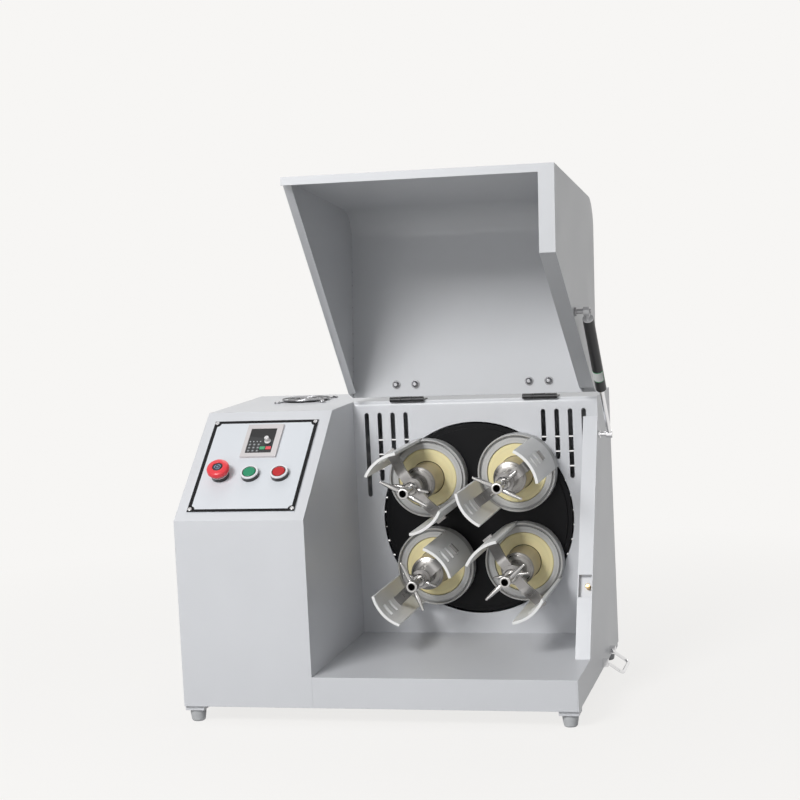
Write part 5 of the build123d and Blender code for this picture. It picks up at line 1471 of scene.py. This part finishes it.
@dataclass
class Studio:
    """Pale floor and backdrop, soft lamps and the photograph's camera."""

    backdrop: Colour = (0.93, 0.92, 0.905)
    bounce: Colour = (0.4, 0.4, 0.4)
    sky: Colour = (0.96, 0.98, 1.0)
    sky_strength: float = 0.28
    floor_half: float = 30000.0
    floor_depth: float = 2.0
    floor_fade: Pair = (0.45, 1.7)
    floor_near_share: float = 0.86
    camera_place: Point = (1095.70, -2854.16, 793.71)
    yaw: float = 0.24306348
    pitch: float = -0.09235428
    roll: float = 0.04812667
    focal_pixels: float = 1892.73
    picture: float = 800.0
    sensor: float = 36.0
    lamps: tuple[Lamp, ...] = (
        Lamp("key_softbox", (-1.0, -2.95, 2.45), (0.0, 0.0, 0.35), (1.3, 1.0), 92.0),
        Lamp("front_softbox", (-0.5, -3.3, 0.55), (0.05, 0.0, 0.2), (1.6, 0.6), 9.0),
        Lamp("fill_softbox", (2.6, -2.4, 1.4), (0.0, 0.0, 0.35), (1.6, 1.6), 2.0),
        Lamp("top_softbox", (-0.2, 1.5, 2.8), (0.0, 0.0, 0.3), (1.8, 1.4), 17.0),
    )
    flags: tuple[Flag, ...] = (
        Flag("left_flag", (-2.4, -1.6, 1.0), (0.9, 2.6)),
        Flag("right_flag", (2.3, -2.6, 1.0), (0.7, 2.6)),
        Flag("front_flag", (-0.1, -3.9, 0.5), (0.8, 1.6)),
    )

    def camera(self) -> None:
        """Stands the camera where the photograph was taken from."""
        level = Matrix.Rotation(self.yaw, 3, "Z")
        turn = level @ Matrix.Rotation(self.pitch, 3, "X") @ Matrix.Rotation(self.roll, 3, "Y")
        right, forward, up = turn.col[0], turn.col[1], turn.col[2]
        data = bpy.data.cameras.new("photo_camera")
        data.sensor_width = self.sensor
        data.sensor_fit = "HORIZONTAL"
        data.lens = self.focal_pixels / self.picture * self.sensor
        data.clip_end = 60.0
        camera = linked("photo_camera", data)
        camera.matrix_world = stand(at(*self.camera_place), right, up, -forward)
        bpy.context.scene.camera = camera

    def seen_directly(self, graph: Graph) -> Socket:
        """Gives 1 for the rays that show the backdrop: seen, mirrored or through glass.

        Args:
            graph: the nodes that it adds to.

        Returns:
            The output.
        """
        path = graph.add("ShaderNodeLightPath").outputs
        mirrored = graph.math("MAXIMUM", path["Is Glossy Ray"], path["Is Transmission Ray"])
        return graph.math("MAXIMUM", path["Is Camera Ray"], mirrored)

    def world(self) -> None:
        """Lights the scene softly and shows the pale backdrop."""
        world = bpy.data.worlds.new("studio")
        bpy.context.scene.world = world
        world.use_nodes = True
        world.node_tree.nodes.clear()
        graph = Graph(world.node_tree)
        shown = graph.add("ShaderNodeBackground", {"Color": opaque(self.backdrop), "Strength": 1.0})
        light = graph.add("ShaderNodeBackground", {"Color": opaque(self.sky), "Strength": self.sky_strength})
        sockets = {0: self.seen_directly(graph), 1: light.outputs[0], 2: shown.outputs[0]}
        graph.add("ShaderNodeOutputWorld", {"Surface": graph.add("ShaderNodeMixShader", sockets).outputs[0]})

    def floor(self) -> None:
        """Lays the pale floor, which melts into the backdrop away from the machine."""
        material, graph = empty_material("studio_floor")
        away = graph.vector("LENGTH", graph.place())
        seen = self.seen_directly(graph)
        share = graph.math("MULTIPLY", seen, graph.span(away, self.floor_near_share, 1.0, *self.floor_fade))
        matt = graph.add("ShaderNodeBsdfDiffuse", {"Color": graph.mix(seen, self.bounce, self.backdrop)})
        shown = graph.add("ShaderNodeEmission", {"Color": opaque(self.backdrop), "Strength": 1.0})
        both = graph.add("ShaderNodeMixShader", {0: share, 1: matt.outputs[0], 2: shown.outputs[0]})
        graph.add("ShaderNodeOutputMaterial", {"Surface": both.outputs[0]})
        half = self.floor_half
        board("studio_floor", half, half, (-self.floor_depth, 0.0), material)

    def build(self) -> None:
        """Sets up camera, lamps, floor and backdrop."""
        self.camera()
        self.world()
        self.floor()
        for lamp in self.lamps:
            lamp.hang()
        for flag in self.flags:
            flag.raise_card()
        bpy.context.scene.view_settings.view_transform = "Standard"


def main() -> None:
    """Builds the studio and dresses the machine, one sub-assembly after another."""
    logging.basicConfig(level=logging.INFO, format="%(message)s")
    Studio().build()
    Cabinet().dress()
    Lid().dress()
    GasStrut().dress()
    ControlPanel().dress()
    Fan().dress()
    Drive().dress()
    SideFittings().dress()
    stations = ((138.1, -28.0), (47.0, -24.5), (227.5, -66.5), (317.9, 41.5))
    for number, (angle, lever_angle) in enumerate(stations, start=1):
        JarStation(number, angle, lever_angle).dress()


if __name__ == "__main__":
    main()
